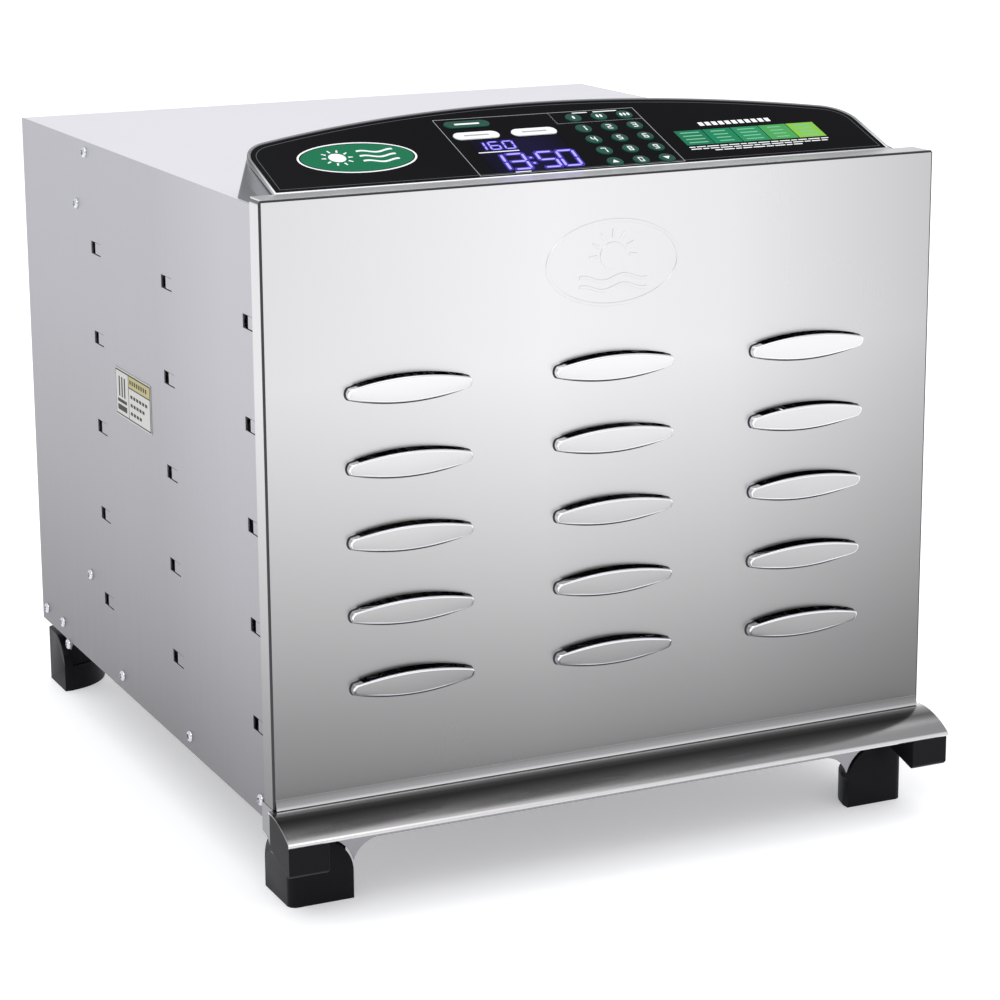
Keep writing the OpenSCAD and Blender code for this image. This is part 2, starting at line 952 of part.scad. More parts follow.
// Cable from the inlet, up the fan bay and along the roof to the console
module wiring_harness() {
    y0 = y_back + sheet - 26;
    y_turn = y_back - 42;
    z_run = z_top - 24;
    color("#303030") {
        rod_y([inlet_x, y_turn, inlet_z], harness_r, y0 - y_turn);
        bend([inlet_x, y_turn, inlet_z]);
        translate([inlet_x, y_turn, inlet_z])
            cylinder(r = harness_r, h = z_run - inlet_z);
        bend([inlet_x, y_turn, z_run]);
        rod_x([min(inlet_x, harness_x), y_turn, z_run], harness_r, abs(harness_x - inlet_x));
        bend([harness_x, y_turn, z_run]);
        rod_y([harness_x, harness_y, z_run], harness_r, y_turn - harness_y);
        bend([harness_x, harness_y, z_run]);
        translate([harness_x, harness_y, z_run])
            cylinder(r = harness_r, h = z_top + 5 - z_run);
    }
}

module bend(p) {
    translate(p)
        sphere(r = harness_r);
}

// Door

// Outline of a louvre, standing on X and Z: two shallow arches cut off by round ends
module louvre_outline(inset) {
    r = louvre_arc - inset;
    intersection() {
        translate([0, louvre_h / 2 - louvre_arc])
            circle(r = r, $fn = 64);
        translate([0, louvre_arc - louvre_h / 2])
            circle(r = r, $fn = 64);
        union() {
            translate([-louvre_w / 2 + louvre_end, inset - louvre_h / 2])
                square([louvre_w - 2 * louvre_end, louvre_h - 2 * inset]);
            for (s = [-1, 1])
                translate([s * (louvre_w / 2 - louvre_end), 0])
                    circle(r = louvre_end - inset);
        }
    }
}

// Hood pressed out of the door: it starts at the lower arch and stands open above
module louvre_hood() {
    difference() {
        intersection() {
            pull_y(-louvre_out - 1, sheet)
                louvre_outline(0);
            louvre_wedge(0);
        }
        intersection() {
            pull_y(-louvre_out - 2, sheet + 1)
                louvre_outline(sheet);
            louvre_wedge(sheet);
        }
        pull_y(-louvre_out - 2, -eps)
            translate([-louvre_w / 2 + louvre_end, 0])
                square([louvre_w - 2 * louvre_end, louvre_h]);
    }
}

// Everything behind the sloping face of a hood
module louvre_wedge(depth) {
    translate([0, 0, -louvre_h / 2])
        rotate([atan2(louvre_out, louvre_h), 0, 0])
            translate([-louvre_w, depth, -louvre_h])
                cube([2 * louvre_w, 4 * louvre_h, 4 * louvre_h]);
}

module louvre_places() {
    for (c = [0:louvre_cols - 1])
        for (r = [0:louvre_rows - 1])
            translate([(c - (louvre_cols - 1) / 2) * louvre_pitch_x, y_door,
                       z_door_top - louvre_drop - r * louvre_pitch_z])
                children();
}

module door_panel() {
    color("gainsboro")
    union() {
        difference() {
            union() {
                span([-hw_door, y_door, z_door + 5], [hw_door, y_door + sheet, z_door_top]);
                pull_x(-hw_door, hw_door)
                    polygon([[y_door + sheet, z_door + 6], [y_door, z_door + 6],
                             [y_door - door_flare * 0.4, z_door + 2],
                             [y_door - door_flare, z_door], [y_door - door_flare + sheet, z_door],
                             [y_door + sheet - door_flare * 0.4, z_door + 2]]);
            }
            louvre_places()
                pull_y(-3, 3)
                    louvre_outline(sheet / 2);
        }
        louvre_places()
            louvre_hood();
        span([-hw_door, y_door, z_door_top - sheet], [hw_door, y_flange - 0.4, z_door_top]);
        both_sides()
            span([-hw_door, y_door, z_door], [-hw_door + sheet, y_door + door_side_flange, z_door_top]);
        translate([0, y_door + eps, z_door_top - 51])
            rotate([90, 0, 0])
                pill(emboss_w, emboss_h, 0.4 + eps);
    }
}

module door_magnets() {
    color("#303030")
    for (x = [-1, 1])
        for (z = [z_door + 30, z_door_top - 40])
            translate([x * (hw - 5), 0, z])
                span([-4, y_door + sheet, -15], [4, y_front - 0.4, 15]);
}

// Wire tray: a square rim, wires front to back and cross wires
module tray(i) {
    z0 = tab_top(i) + tray_gap;
    zw = z0 + (tray_rim - tray_wire) / 2;
    step_x = 2 * (tray_hw - tray_rim / 2) / (tray_bars + 1);
    step_y = (tray_y1 - tray_y0 - tray_rim) / (tray_cross + 1);
    color("white")
    union() {
        difference() {
            span([-tray_hw, tray_y0, z0], [tray_hw, tray_y1, z0 + tray_rim]);
            span([-tray_hw + tray_rim, tray_y0 + tray_rim, z0 - 1],
                 [tray_hw - tray_rim, tray_y1 - tray_rim, z0 + tray_rim + 1]);
        }
        for (k = [1:tray_bars])
            translate([-tray_hw + tray_rim / 2 + k * step_x - tray_wire / 2, tray_y0 + 1, zw])
                cube([tray_wire, tray_y1 - tray_y0 - 2, tray_wire]);
        for (k = [1:tray_cross])
            translate([-tray_hw + 1, tray_y0 + tray_rim / 2 + k * step_y - tray_wire / 2, zw])
                cube([2 * tray_hw - 2, tray_wire, tray_wire]);
    }
}

module key_power() {
    color("seagreen")
        pill_key(pill_keys[0]);
}

module key_mode() {
    color("whitesmoke")
        pill_key(pill_keys[1]);
}

module key_start() {
    color("whitesmoke")
        pill_key(pill_keys[2]);
}

module key_up() {
    color("seagreen")
        round_key(key_at(0, 0));
}

module key_down() {
    color("seagreen")
        round_key(key_at(2, 0));
}

base_pan();
side_panel_left();
side_panel_right();
top_cover();
rear_panel();
fan_bulkhead();
front_ledge();
ledge_cap_left();
ledge_cap_right();
foot_front_left();
foot_front_right();
foot_rear_left();
foot_rear_right();
foot_screws();
case_screws();
control_housing();
control_fascia();
fascia_trim();
display_lens();
display_module();
control_board();
caution_plate();
heating_element();
fan_guard();
fan_screws();
motor_bracket();
fan_motor();
fan_shaft();
fan_blade();
fan_nut();
temperature_probe();
thermal_cutout();
power_inlet();
wiring_harness();
door_panel();
door_magnets();
key_power();
key_mode();
key_start();
key_up();
key_down();
for (i = [1:3])
    color("seagreen") round_key(key_at(i - 1, 4));
for (i = [0:9])
    color("seagreen") round_key(digit_at(i));
for (i = [1:tray_count])
    tray(i);
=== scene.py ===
"""Finishes and detailed pieces of a countertop food dehydrator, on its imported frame.

Lengths are in millimetres until a mesh is made, and X, Y and Z are the frame's own.
"""

import bpy
import bmesh
import math
from mathutils import Matrix, Vector


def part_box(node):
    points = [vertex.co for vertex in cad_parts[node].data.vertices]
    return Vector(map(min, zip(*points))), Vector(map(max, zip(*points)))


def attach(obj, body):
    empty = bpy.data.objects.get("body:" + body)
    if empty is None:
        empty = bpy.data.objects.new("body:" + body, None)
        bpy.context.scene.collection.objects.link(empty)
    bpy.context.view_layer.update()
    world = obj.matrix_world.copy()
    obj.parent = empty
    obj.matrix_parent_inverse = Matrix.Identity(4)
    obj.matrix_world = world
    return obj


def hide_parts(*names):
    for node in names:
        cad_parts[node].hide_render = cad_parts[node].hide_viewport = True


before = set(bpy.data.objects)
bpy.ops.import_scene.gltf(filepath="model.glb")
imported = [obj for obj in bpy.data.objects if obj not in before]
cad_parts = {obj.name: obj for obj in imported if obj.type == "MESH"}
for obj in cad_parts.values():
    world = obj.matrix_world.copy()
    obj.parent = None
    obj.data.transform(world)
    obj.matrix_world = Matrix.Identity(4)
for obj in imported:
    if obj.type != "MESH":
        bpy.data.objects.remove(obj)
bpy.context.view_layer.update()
MM = 0.001


def node_box(node):
    """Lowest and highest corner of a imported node, in millimetres."""
    low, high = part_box(node)
    return low / MM, high / MM


# ---------------- stations

DOOR_LOW, DOOR_HIGH = node_box("door_panel")
LEDGE_LOW, LEDGE_HIGH = node_box("front_ledge")
SIDE_X = -node_box("side_panel_left")[0].x
ROOF_Z = node_box("top_cover")[1].z
SHEET = 1.0
BEND_R = 1.3
DOOR_FLANGE = 19.0
DOOR_SIDE_FLANGE = 14.5
DOOR_FACE = DOOR_HIGH.y + 0.4 - DOOR_FLANGE
DOOR_FLARE = 2.0
FLARE_TALL = 6.0
HALF_DOOR = DOOR_HIGH.x
LOUVRE_W = 77.0
LOUVRE_H = 16.0
LOUVRE_OUT = 8.0
LOUVRE_END = 4.2
LOUVRE_PAST_END = 9.5
LOUVRE_COLUMNS = 3
LOUVRE_ROWS = 5
LOUVRE_PITCH_X = 130.0
LOUVRE_PITCH_Z = 43.2
LOUVRE_TOP = DOOR_HIGH.z - 112.0
EMBLEM_Z = DOOR_HIGH.z - 51.0
LEDGE_R = 54.0
SLOPE = math.radians(20.0)
CONSOLE_Y = DOOR_HIGH.y + 1.4
CONSOLE_Z = ROOF_Z + 4.0
FASCIA_T = 3.0
# Half width, height of the arch's crown, radius of the arch and of the corners.
FRAME_SHAPE = (200.0, 91.0, 600.0, 22.0)
FOOT_SHAPE = (213.0, 70.0, 600.0, 14.0)
RIGHT_ANGLE = math.pi / 2


# ---------------- node graphs


class Wire:
    """An output of a node graph that takes part in sums."""

    def __init__(self, graph, socket):
        self.graph = graph
        self.socket = socket

    def maths(self, operation, first, second):
        return self.graph.node("ShaderNodeMath", {0: first, 1: second}, operation=operation)

    def __add__(self, other):
        return self.maths("ADD", self, other)

    def __mul__(self, other):
        return self.maths("MULTIPLY", self, other)

    def __sub__(self, other):
        return self.maths("SUBTRACT", self, other)

    def __rsub__(self, other):
        return self.maths("SUBTRACT", other, self)

    def __pow__(self, other):
        return self.maths("POWER", self, other)

    def clipped(self):
        return self.maths("MAXIMUM", self.maths("MINIMUM", self, 1.0), 0.0)


class Graph:
    """Makes nodes in a tree; a short kind is completed with the family of the tree."""

    def __init__(self, tree, family):
        self.tree = tree
        self.family = family

    def node(self, kind, sockets=None, output=0, stops=(), **settings):
        """A node: settings are set first, then values or links; returns one output."""
        made = self.tree.nodes.new(kind if "Node" in kind else self.family + "Node" + kind)
        for name, value in settings.items():
            setattr(made, name, value)
        if stops:
            self.ramp(made.color_ramp.elements, stops)
        for key, value in (sockets or {}).items():
            self.feed(made.inputs[key], value)
        return Wire(self, made.outputs[output])

    def feed(self, socket, value):
        if isinstance(value, Wire):
            self.tree.links.new(value.socket, socket)
        else:
            socket.default_value = value

    def ramp(self, elements, stops):
        while len(elements) < len(stops):
            elements.new(1.0)
        for element, (place, colour) in zip(elements, stops):
            element.position = place
            element.color = (*colour, 1.0)


class Finish(Graph):
    """A material built on one Principled shader; the constants go on its sockets."""

    def __init__(self, name, constants):
        self.material = bpy.data.materials.new(name)
        self.material.use_nodes = True
        super().__init__(self.material.node_tree, "Shader")
        self.shader = self.tree.nodes["Principled BSDF"]
        for socket, value in constants.items():
            self.set(socket, value)

    def set(self, socket, value):
        self.feed(self.shader.inputs[socket], value)

    def raw(self):
        return self.node("TexCoord", output="Object")

    def place(self, scale=(1.0, 1.0, 1.0), turn=(0.0, 0.0, 0.0)):
        """Object coordinates in metres, turned and stretched."""
        return self.node("Mapping", {"Vector": self.raw(), "Scale": scale, "Rotation": turn})

    def axis(self, index):
        return self.node("SeparateXYZ", {0: self.raw()}, index)

    def noise(self, scale, detail):
        """Noise with so many grains to the metre along each axis, or along all three."""
        scale = scale if isinstance(scale, tuple) else (scale,) * 3
        sockets = {"Vector": self.place(scale), "Scale": 1.0, "Detail": detail, "Roughness": 0.55}
        return self.node("TexNoise", sockets)

    def blend(self, amount, first, second, mode="MIX"):
        colours = {0: amount, 6: first, 7: second}
        return self.node("Mix", colours, 2, data_type="RGBA", blend_type=mode)

    def bump(self, height, strength, distance):
        sockets = {"Height": height, "Strength": strength, "Distance": distance}
        self.set("Normal", self.node("Bump", sockets))


def shade(colour, factor=1.0):
    return (colour[0] * factor, colour[1] * factor, colour[2] * factor, 1.0)


# ---------------- finishes


def sheet_steel(name, tint, rough, grain, streak=0.05, spread=0.03, painted_light_falls=()):
    """Rolled sheet: fine streaks along the grain, faint clouding, and ramps of painted light and shade.

    Each ramp is an axis, its two ends in millimetres, and the levels of painted light and shade between
    them.
    """
    made = Finish(name, {"Metallic": 1.0})
    streaks = made.noise(grain, 4.0)
    clouds = made.noise((7.0, 7.0, 5.0), 2.0)
    tone = made.blend(clouds, shade(tint, 1.0 - spread), shade(tint, 1.0 + spread))
    tone = made.blend((streaks - 0.5) * 0.35 + 0.5, tone, shade(tint, 1.0 - spread))
    # Painted light and shade: each ramp multiplies the colour by a level along one axis.
    for axis, start, end, levels in painted_light_falls:
        along = ((made.axis(axis) - start * MM) * (1.0 / ((end - start) * MM))).clipped()
        stops = [(place, (level, level, level)) for place, level in levels]
        ramp = made.node("ValToRGB", {0: along}, stops=stops)
        tone = made.blend(1.0, tone, ramp, "MULTIPLY")
    made.set("Base Color", tone)
    made.set("Roughness", (streaks - 0.5) * streak * 2.0 + (clouds - 0.5) * 0.04 + rough)
    if streak > 0.01:
        made.bump(streaks, streak, 0.00008)
    return made.material


def polished(name, tint, rough):
    """Rubbed bright metal with faint swirls."""
    made = Finish(name, {"Metallic": 1.0})
    swirl = made.noise(160.0, 5.0)
    made.set("Base Color", made.blend(swirl, shade(tint, 0.94), shade(tint)))
    made.set("Roughness", swirl * 0.08 + rough)
    return made.material


def moulded(name, tint, rough, grain=1400.0, depth=0.25, clear=0.0, gloss=0.5):
    """Moulded plastic: a spark-eroded grain and a slightly uneven gloss."""
    made = Finish(name, {"Coat Roughness": 0.12, "IOR": 1.36, "Specular IOR Level": gloss})
    fine = made.noise(grain, 2.0)
    broad = made.noise(26.0, 3.0)
    made.set("Base Color", made.blend(broad, shade(tint, 0.8), shade(tint, 1.25)))
    made.set("Roughness", broad * 0.12 + rough - 0.06)
    if clear:
        made.set("Coat Weight", broad * 0.1 + clear)
    made.bump(fine, depth, 0.00005)
    return made.material


def printed(name, tint, glow=0.0):
    """Screen-printed ink with a fine halftone unevenness; given a glow, it also gives off light."""
    made = Finish(name, {"Roughness": 0.3, "IOR": 1.15, "Specular IOR Level": 0.2})
    ink = made.blend(made.noise(2600.0, 1.0), shade(tint, 0.9), shade(tint, 1.06))
    made.set("Base Color", ink)
    if glow:
        made.set("Emission Color", ink)
        made.set("Emission Strength", glow)
    return made.material


def overlay_black():
    """Gloss polyester overlay of the fascia, with faint dust in the gloss."""
    made = Finish("overlay_black", {"IOR": 1.12, "Specular IOR Level": 0.1})
    dust = made.noise(900.0, 3.0)
    tint = (0.0014, 0.0014, 0.002)
    made.set("Base Color", made.blend(dust, shade(tint, 0.7), shade(tint, 1.5)))
    made.set("Roughness", dust * 0.06 + 0.1)
    return made.material


def display_window():
    """Tinted window: dark violet, with a painted glow that brightens its colour and emission towards its
    middle.
    """
    constants = {"IOR": 1.12, "Specular IOR Level": 0.1, "Emission Strength": 0.25}
    made = Finish("display_window", constants)
    low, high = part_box("display_lens")
    across = (made.axis(0) - (low.x + high.x) / 2) * 30.0
    # Painted glow: colour and emission rise towards the window's middle.
    level = (1.0 - across * across).clipped()
    made.set("Base Color", made.blend(level, shade((0.001, 0.001, 0.002)), shade((0.004, 0.003, 0.016))))
    made.set("Emission Color", made.blend(level, shade((0.0, 0.0, 0.0)), shade((0.008, 0.006, 0.05))))
    made.set("Roughness", level * 0.03 + 0.06)
    return made.material


def braided(name, tint):
    """Woven sleeve over the wiring."""
    made = Finish(name, {"Sheen Weight": 0.2})
    where = {"Vector": made.place(turn=(0.0, 0.0, math.radians(45.0))), "Scale": 260.0}
    waves = made.node("TexWave", where, wave_type="BANDS", bands_direction="X")
    cross = made.node("TexWave", where, wave_type="BANDS", bands_direction="Z")
    made.set("Base Color", made.blend(waves, shade(tint, 0.6), shade(tint, 1.5)))
    made.set("Roughness", waves * 0.2 + 0.5)
    made.bump(waves * cross, 0.6, 0.0003)
    return made.material


def oxidised(name, tint):
    """Heater sheath darkened by use, with straw and blue tints."""
    made = Finish(name, {"Metallic": 0.8})
    patch = made.noise(60.0, 4.0)
    stops = [(0.3, shade(tint, 0.7)[:3]), (0.55, (0.16, 0.11, 0.07)), (0.75, (0.07, 0.08, 0.12))]
    made.set("Base Color", made.node("ValToRGB", {0: patch}, stops=stops))
    made.set("Roughness", patch * 0.2 + 0.4)
    return made.material


# Painted shade on the side panels: darker towards the bottom and towards the rear.
SIDE_PAINTED_LIGHT = [
    (2, 50.0, 410.0, [(0.0, 0.38), (0.35, 0.66), (0.7, 0.88), (1.0, 1.0)]),
    (1, -220.0, 240.0, [(0.0, 1.0), (0.12, 1.0), (0.4, 0.86), (1.0, 0.85)]),
]
# Painted reflection on the door and its louvres: light at the top, darker towards the bottom and towards
# both side edges, most to the right.
DOOR_PAINTED_LIGHT = [
    (2, 60.0, 412.0, [(0.0, 0.26), (0.15, 0.38), (0.4, 0.63), (0.7, 0.94), (1.0, 1.0)]),
    (0, -217.0, 217.0, [(0.0, 0.81), (0.15, 0.87), (0.4, 0.97), (0.68, 0.91), (1.0, 0.65)]),
]
# Painted highlight on the door's flared foot: bright at its lower edge, darker upwards and towards the
# ends.
FLARE_PAINTED_LIGHT = [
    (2, 61.9, 68.2, [(0.0, 1.0), (0.12, 0.85), (0.3, 0.52), (1.0, 0.30)]),
    (0, -217.0, 217.0, [(0.0, 0.88), (0.15, 0.92), (0.4, 0.97), (0.68, 0.91), (1.0, 0.75)]),
]
# Painted reflection on the ledge, from its rolled front edge back to the door: a bright hem, a dark middle
# band and a bright top.
LEDGE_PAINTED_REFLECTION_LEVELS = [(0.0, 1.0), (0.04, 0.9), (0.07, 0.36), (0.3, 0.30), (0.55, 0.12), (0.8, 0.4), (0.95, 1.0)]
LEDGE_PAINTED_REFLECTION = [(1, -256.5, -223.0, LEDGE_PAINTED_REFLECTION_LEVELS)]
# Painted highlight on the console bead: bright at the front, fading to painted shade towards the rear.
TRIM_PAINTED_HIGHLIGHT = [(1, -207.0, -115.0, [(0.0, 1.0), (0.15, 0.62), (0.4, 0.26), (1.0, 0.2)])]
ACROSS = (40.0, 700.0, 700.0)
STEEL_SIDE = sheet_steel(
    "side_sheet", (0.49, 0.485, 0.512), 0.42, (30.0, 700.0, 9.0), 0.03, 0.03, SIDE_PAINTED_LIGHT
)
STEEL_ROOF = sheet_steel("roof_sheet", (0.70, 0.695, 0.725), 0.38, (900.0, 14.0, 900.0), 0.03)
STEEL_DOOR = sheet_steel(
    "door_sheet", (0.765, 0.76, 0.757), 0.28, (150.0, 150.0, 6.0), 0.003, 0.01, DOOR_PAINTED_LIGHT
)
STEEL_LEDGE = sheet_steel(
    "ledge_sheet", (0.76, 0.745, 0.745), 0.18, (10.0, 900.0, 900.0), 0.04, 0.03, LEDGE_PAINTED_REFLECTION
)
# Finish of the door's flared foot, carrying its painted highlight.
FLARE = sheet_steel("flare_painted_highlight", (0.78, 0.77, 0.77), 0.16, ACROSS, 0.008, 0.01, FLARE_PAINTED_LIGHT)
# The louvres take the door's painted reflection from top to bottom.
LOUVRE_SHEET = sheet_steel(
    "louvre_sheet", (0.74, 0.735, 0.732), 0.22, ACROSS, 0.03, 0.03, DOOR_PAINTED_LIGHT[:1]
)
STEEL_INNER = sheet_steel("inner_sheet", (0.55, 0.55, 0.57), 0.35, (500.0, 20.0, 500.0))
STEEL_PAN = sheet_steel("pan_sheet", (0.29, 0.29, 0.305), 0.36, (12.0, 600.0, 600.0), 0.04)
TRIM = sheet_steel("console_bead", (0.62, 0.62, 0.64), 0.12, 160.0, 0.02, 0.03, TRIM_PAINTED_HIGHLIGHT)
CONSOLE = sheet_steel("console_grey", (0.15, 0.153, 0.162), 0.34, 300.0, 0.06)
# Polished finish of the louvres' rolled edges, also used as a painted highlight on the left end walls of
# each hood.
POLISHED_AND_PAINTED_HIGHLIGHT = polished("polished_edge_and_painted_highlight", (0.86, 0.86, 0.88), 0.06)
# Painted shade: the dark colour of the door's bends, the louvre hood walls and the crease ring under each
# hood.
PAINTED_SHADE_BEND = polished("bend_painted_shade", (0.05, 0.05, 0.055), 0.25)
WIRE_STEEL = polished("bright_wire", (0.72, 0.72, 0.74), 0.12)
SCREW_STEEL = polished("zinc_screw", (0.62, 0.63, 0.66), 0.18)
FAN_METAL = polished("fan_aluminium", (0.7, 0.71, 0.73), 0.28)
FOIL = polished("label_foil", (0.47, 0.465, 0.44), 0.32)
BLACK = moulded("moulded_black", (0.005, 0.005, 0.0065), 0.42, gloss=0.16)
MOTOR = moulded("motor_enamel", (0.02, 0.022, 0.025), 0.35, 300.0, 0.1, 0.3)
CAP_GREEN = moulded("key_green", (0.002, 0.05, 0.03), 0.3, 1500.0, 0.1, 0.0, 0.08)
CAP_WHITE = moulded("key_white", (0.72, 0.73, 0.74), 0.3, 1500.0, 0.1, 0.0, 0.3)
BOARD = moulded("board_green", (0.01, 0.09, 0.04), 0.4, 400.0, 0.2)
OVERLAY = overlay_black()
WINDOW = display_window()
SLEEVE = braided("cable_sleeve", (0.02, 0.02, 0.02))
HEATER = oxidised("heater_sheath", (0.1, 0.095, 0.09))
INK_WHITE = printed("ink_white", (0.8, 0.81, 0.82))
INK_GREY = printed("ink_grey", (0.32, 0.33, 0.35))
INK_FAINT = printed("ink_faint", (0.10, 0.105, 0.115))
INK_GREEN = printed("ink_green", (0.0, 0.13, 0.055))
INK_DARK = printed("ink_dark", (0.03, 0.03, 0.03))
INK_YELLOW = printed("ink_yellow", (0.40, 0.36, 0.17))
INK_NOTE = printed("ink_guide_note", (0.16, 0.44, 0.26))
LIT = printed("lit_segment", (0.27, 0.24, 0.80), 0.8)
# Painted glow: a faint violet light about each lit bar.
PAINTED_GLOW = printed("segment_painted_glow", (0.035, 0.022, 0.26), 0.5)
GUIDE_TINTS = [(0.0, 0.135, 0.065), (0.0, 0.17, 0.075), (0.01, 0.21, 0.085)]
GUIDE_TINTS += [(0.05, 0.29, 0.07), (0.19, 0.44, 0.05)]


# ---------------- mesh tools


def linked(name, data):
    made = bpy.data.objects.new(name, data)
    bpy.context.scene.collection.objects.link(made)
    return made


def mesh_of(name, points, faces=()):
    """A mesh from points in millimetres."""
    mesh = bpy.data.meshes.new(name)
    mesh.from_pydata([Vector(p) * MM for p in points], [], faces)
    return mesh


def coat(data, finish):
    """Leaves a mesh with this finish, or these, only."""
    data.materials.clear()
    for one in finish if isinstance(finish, list) else [finish]:
        data.materials.append(one)


def clean(mesh):
    work = bmesh.new()
    work.from_mesh(mesh)
    bmesh.ops.remove_doubles(work, verts=work.verts, dist=0.000001)
    bmesh.ops.recalc_face_normals(work, faces=work.faces)
    work.to_mesh(mesh)
    work.free()


def bake(made, modifier):
    """Leaves the mesh as its one modifier makes it."""
    graph = bpy.context.evaluated_depsgraph_get()
    graph.update()
    mesh = bpy.data.meshes.new_from_object(made.evaluated_get(graph), depsgraph=graph)
    made.modifiers.remove(modifier)
    made.data = mesh


def modify(made, kind, **settings):
    modifier = made.modifiers.new(kind.lower(), kind)
    for name, value in settings.items():
        setattr(modifier, name, value)
    return modifier


def dress(made, body, finish, stands_for=(), smooth=35.0, bevel=0.0, wall=0.0):
    """Gives a piece its wall, rounded edges, shading, finish and body."""
    if wall:
        bake(made, modify(made, "SOLIDIFY", thickness=wall * MM, offset=-1.0, use_even_offset=True))
    if bevel:
        rounding = modify(made, "BEVEL", width=bevel * MM, segments=2, limit_method="ANGLE")
        rounding.angle_limit = math.radians(30.0)
        rounding.use_clamp_overlap = True
        rounding.harden_normals = True
    made.data.shade_smooth()
    made.data.set_sharp_from_angle(angle=math.radians(smooth))
    if len(made.data.materials) == 0:
        coat(made.data, finish)
    if stands_for:
        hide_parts(*stands_for)
    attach(made, body)
    return made


def refine(name, node, finish, body, bevel):
    """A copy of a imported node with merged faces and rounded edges, which stands for the node."""
    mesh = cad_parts[node].data.copy()
    mesh.materials.clear()
    made = linked(name, mesh)
    work = bmesh.new()
    work.from_mesh(mesh)
    bmesh.ops.remove_doubles(work, verts=work.verts, dist=0.000002)
    flat = math.radians(0.5)
    bmesh.ops.dissolve_limit(work, angle_limit=flat, verts=work.verts, edges=work.edges)
    work.to_mesh(mesh)
    work.free()
    return dress(made, body, finish, (node,), 35.0, bevel)


class Shape:
    """Points and faces gathered before they become one piece; a kind picks a face's finish."""

    def __init__(self):
        self.points = []
        self.faces = []
        self.kinds = []

    def add(self, points, faces, kind=0):
        start = len(self.points)
        self.points += [tuple(p) for p in points]
        self.faces += [[start + i for i in face] for face in faces]
        self.kinds += [kind] * len(faces)

    def box(self, low, high, kind=0):
        xs, ys, zs = zip(low, high)
        points = [(xs[i & 1], ys[i >> 1 & 1], zs[i >> 2 & 1]) for i in range(8)]
        faces = [(0, 2, 3, 1), (4, 5, 7, 6), (0, 1, 5, 4), (2, 6, 7, 3), (0, 4, 6, 2), (1, 3, 7, 5)]
        self.add(points, faces, kind)

    def skin(self, rows, joined=False, first=False, last=False, kind=0):
        """Faces between rows of points round a form; joined, the last row meets the first."""
        n = len(rows[0])
        faces = []
        if first:
            faces.append(list(range(n))[::-1])
        if last:
            faces.append(list(range((len(rows) - 1) * n, len(rows) * n)))
        for r in range(len(rows) if joined else len(rows) - 1):
            a, b = r * n, (r + 1) % len(rows) * n
            faces += [(a + i, a + (i + 1) % n, b + (i + 1) % n, b + i) for i in range(n)]
        self.add([p for row in rows for p in row], faces, kind)

    def prism(self, outline, bottom, top, kind=0):
        """A flat outline of (x, y) pairs raised from bottom to top along Z."""
        rows = [[(x, y, z) for x, y in outline] for z in (bottom, top)]
        self.skin(rows, first=True, last=True, kind=kind)

    def ring(self, outer, inner, bottom, top):
        """The band between two outlines of as many points."""
        edges = ((outer, bottom), (inner, bottom), (inner, top), (outer, top))
        self.skin([[(x, y, z) for x, y in edge] for edge, z in edges], joined=True)

    def moved(self, change):
        self.points = [tuple(change(Vector(p))) for p in self.points]
        return self

    def piece(self, name, body, finish, slot, stands_for=(), smooth=35.0, bevel=0.0, wall=0.0):
        mesh = mesh_of(name, self.points, self.faces)
        coat(mesh, finish)
        mesh.polygons.foreach_set("material_index", self.kinds)
        clean(mesh)
        return dress(linked(name, mesh), body, finish, stands_for, smooth, bevel, wall)


def on_slope(point):
    """From (across, up the slope, out of the fascia) to the frame."""
    u, s, n = point
    y = CONSOLE_Y + s * math.cos(SLOPE) - n * math.sin(SLOPE)
    z = CONSOLE_Z + s * math.sin(SLOPE) + n * math.cos(SLOPE)
    return Vector((u, y, z))


def arc(cx, cy, r, start, end, count, skip=0):
    """Points on an arc from one angle to another."""
    angles = [start + (end - start) * i / count for i in range(skip, count + 1 - skip)]
    return [(cx + r * math.cos(a), cy + r * math.sin(a)) for a in angles]


def arch_outline(shape, inset):
    """Straight front and sides, round corners and an arched rear edge."""
    w, peak, r, rc = shape
    cx = w - rc
    cy = peak - r + math.sqrt((r - rc) ** 2 - cx**2)
    turn = math.atan2(cy - peak + r, cx)
    points = [(w - inset, inset)] + arc(cx, cy, rc - inset, 0.0, turn, 10)
    points += arc(0.0, peak - r, r - inset, turn, math.pi - turn, 56, 1)
    points += arc(-cx, cy, rc - inset, math.pi - turn, math.pi, 10)
    return points + [(-w + inset, inset)]


def oval(cx, cy, rx, ry, count=48):
    angles = [2 * math.pi * i / count for i in range(count)]
    return [(cx + rx * math.cos(a), cy + ry * math.sin(a)) for a in angles]


def stadium(w, h):
    r = h / 2
    ends = (w / 2 - r, -RIGHT_ANGLE), (r - w / 2, RIGHT_ANGLE)
    return [p for cx, start in ends for p in arc(cx, 0.0, r, start, start + math.pi, 12)]


def bar(x0, y0, x1, y1):
    return [(x0, y0), (x1, y0), (x1, y1), (x0, y1)]


def rays(cx, cy, count, near, far, broad, narrow):
    """Tapered rays round a centre: the angle and the outline of each."""
    ray = [(near, -broad), (far, -narrow), (far, narrow), (near, broad)]
    for i in range(count):
        a = 2 * math.pi * i / count
        c, s = math.cos(a), math.sin(a)
        yield a, [(cx + x * c - y * s, cy + x * s + y * c) for x, y in ray]


def band(line, half=0.9):
    """A line along X as a strip of even height."""
    return [(x, y + half) for x, y in line] + [(x, y - half) for x, y in reversed(line)]


# ---------------- geometry nodes


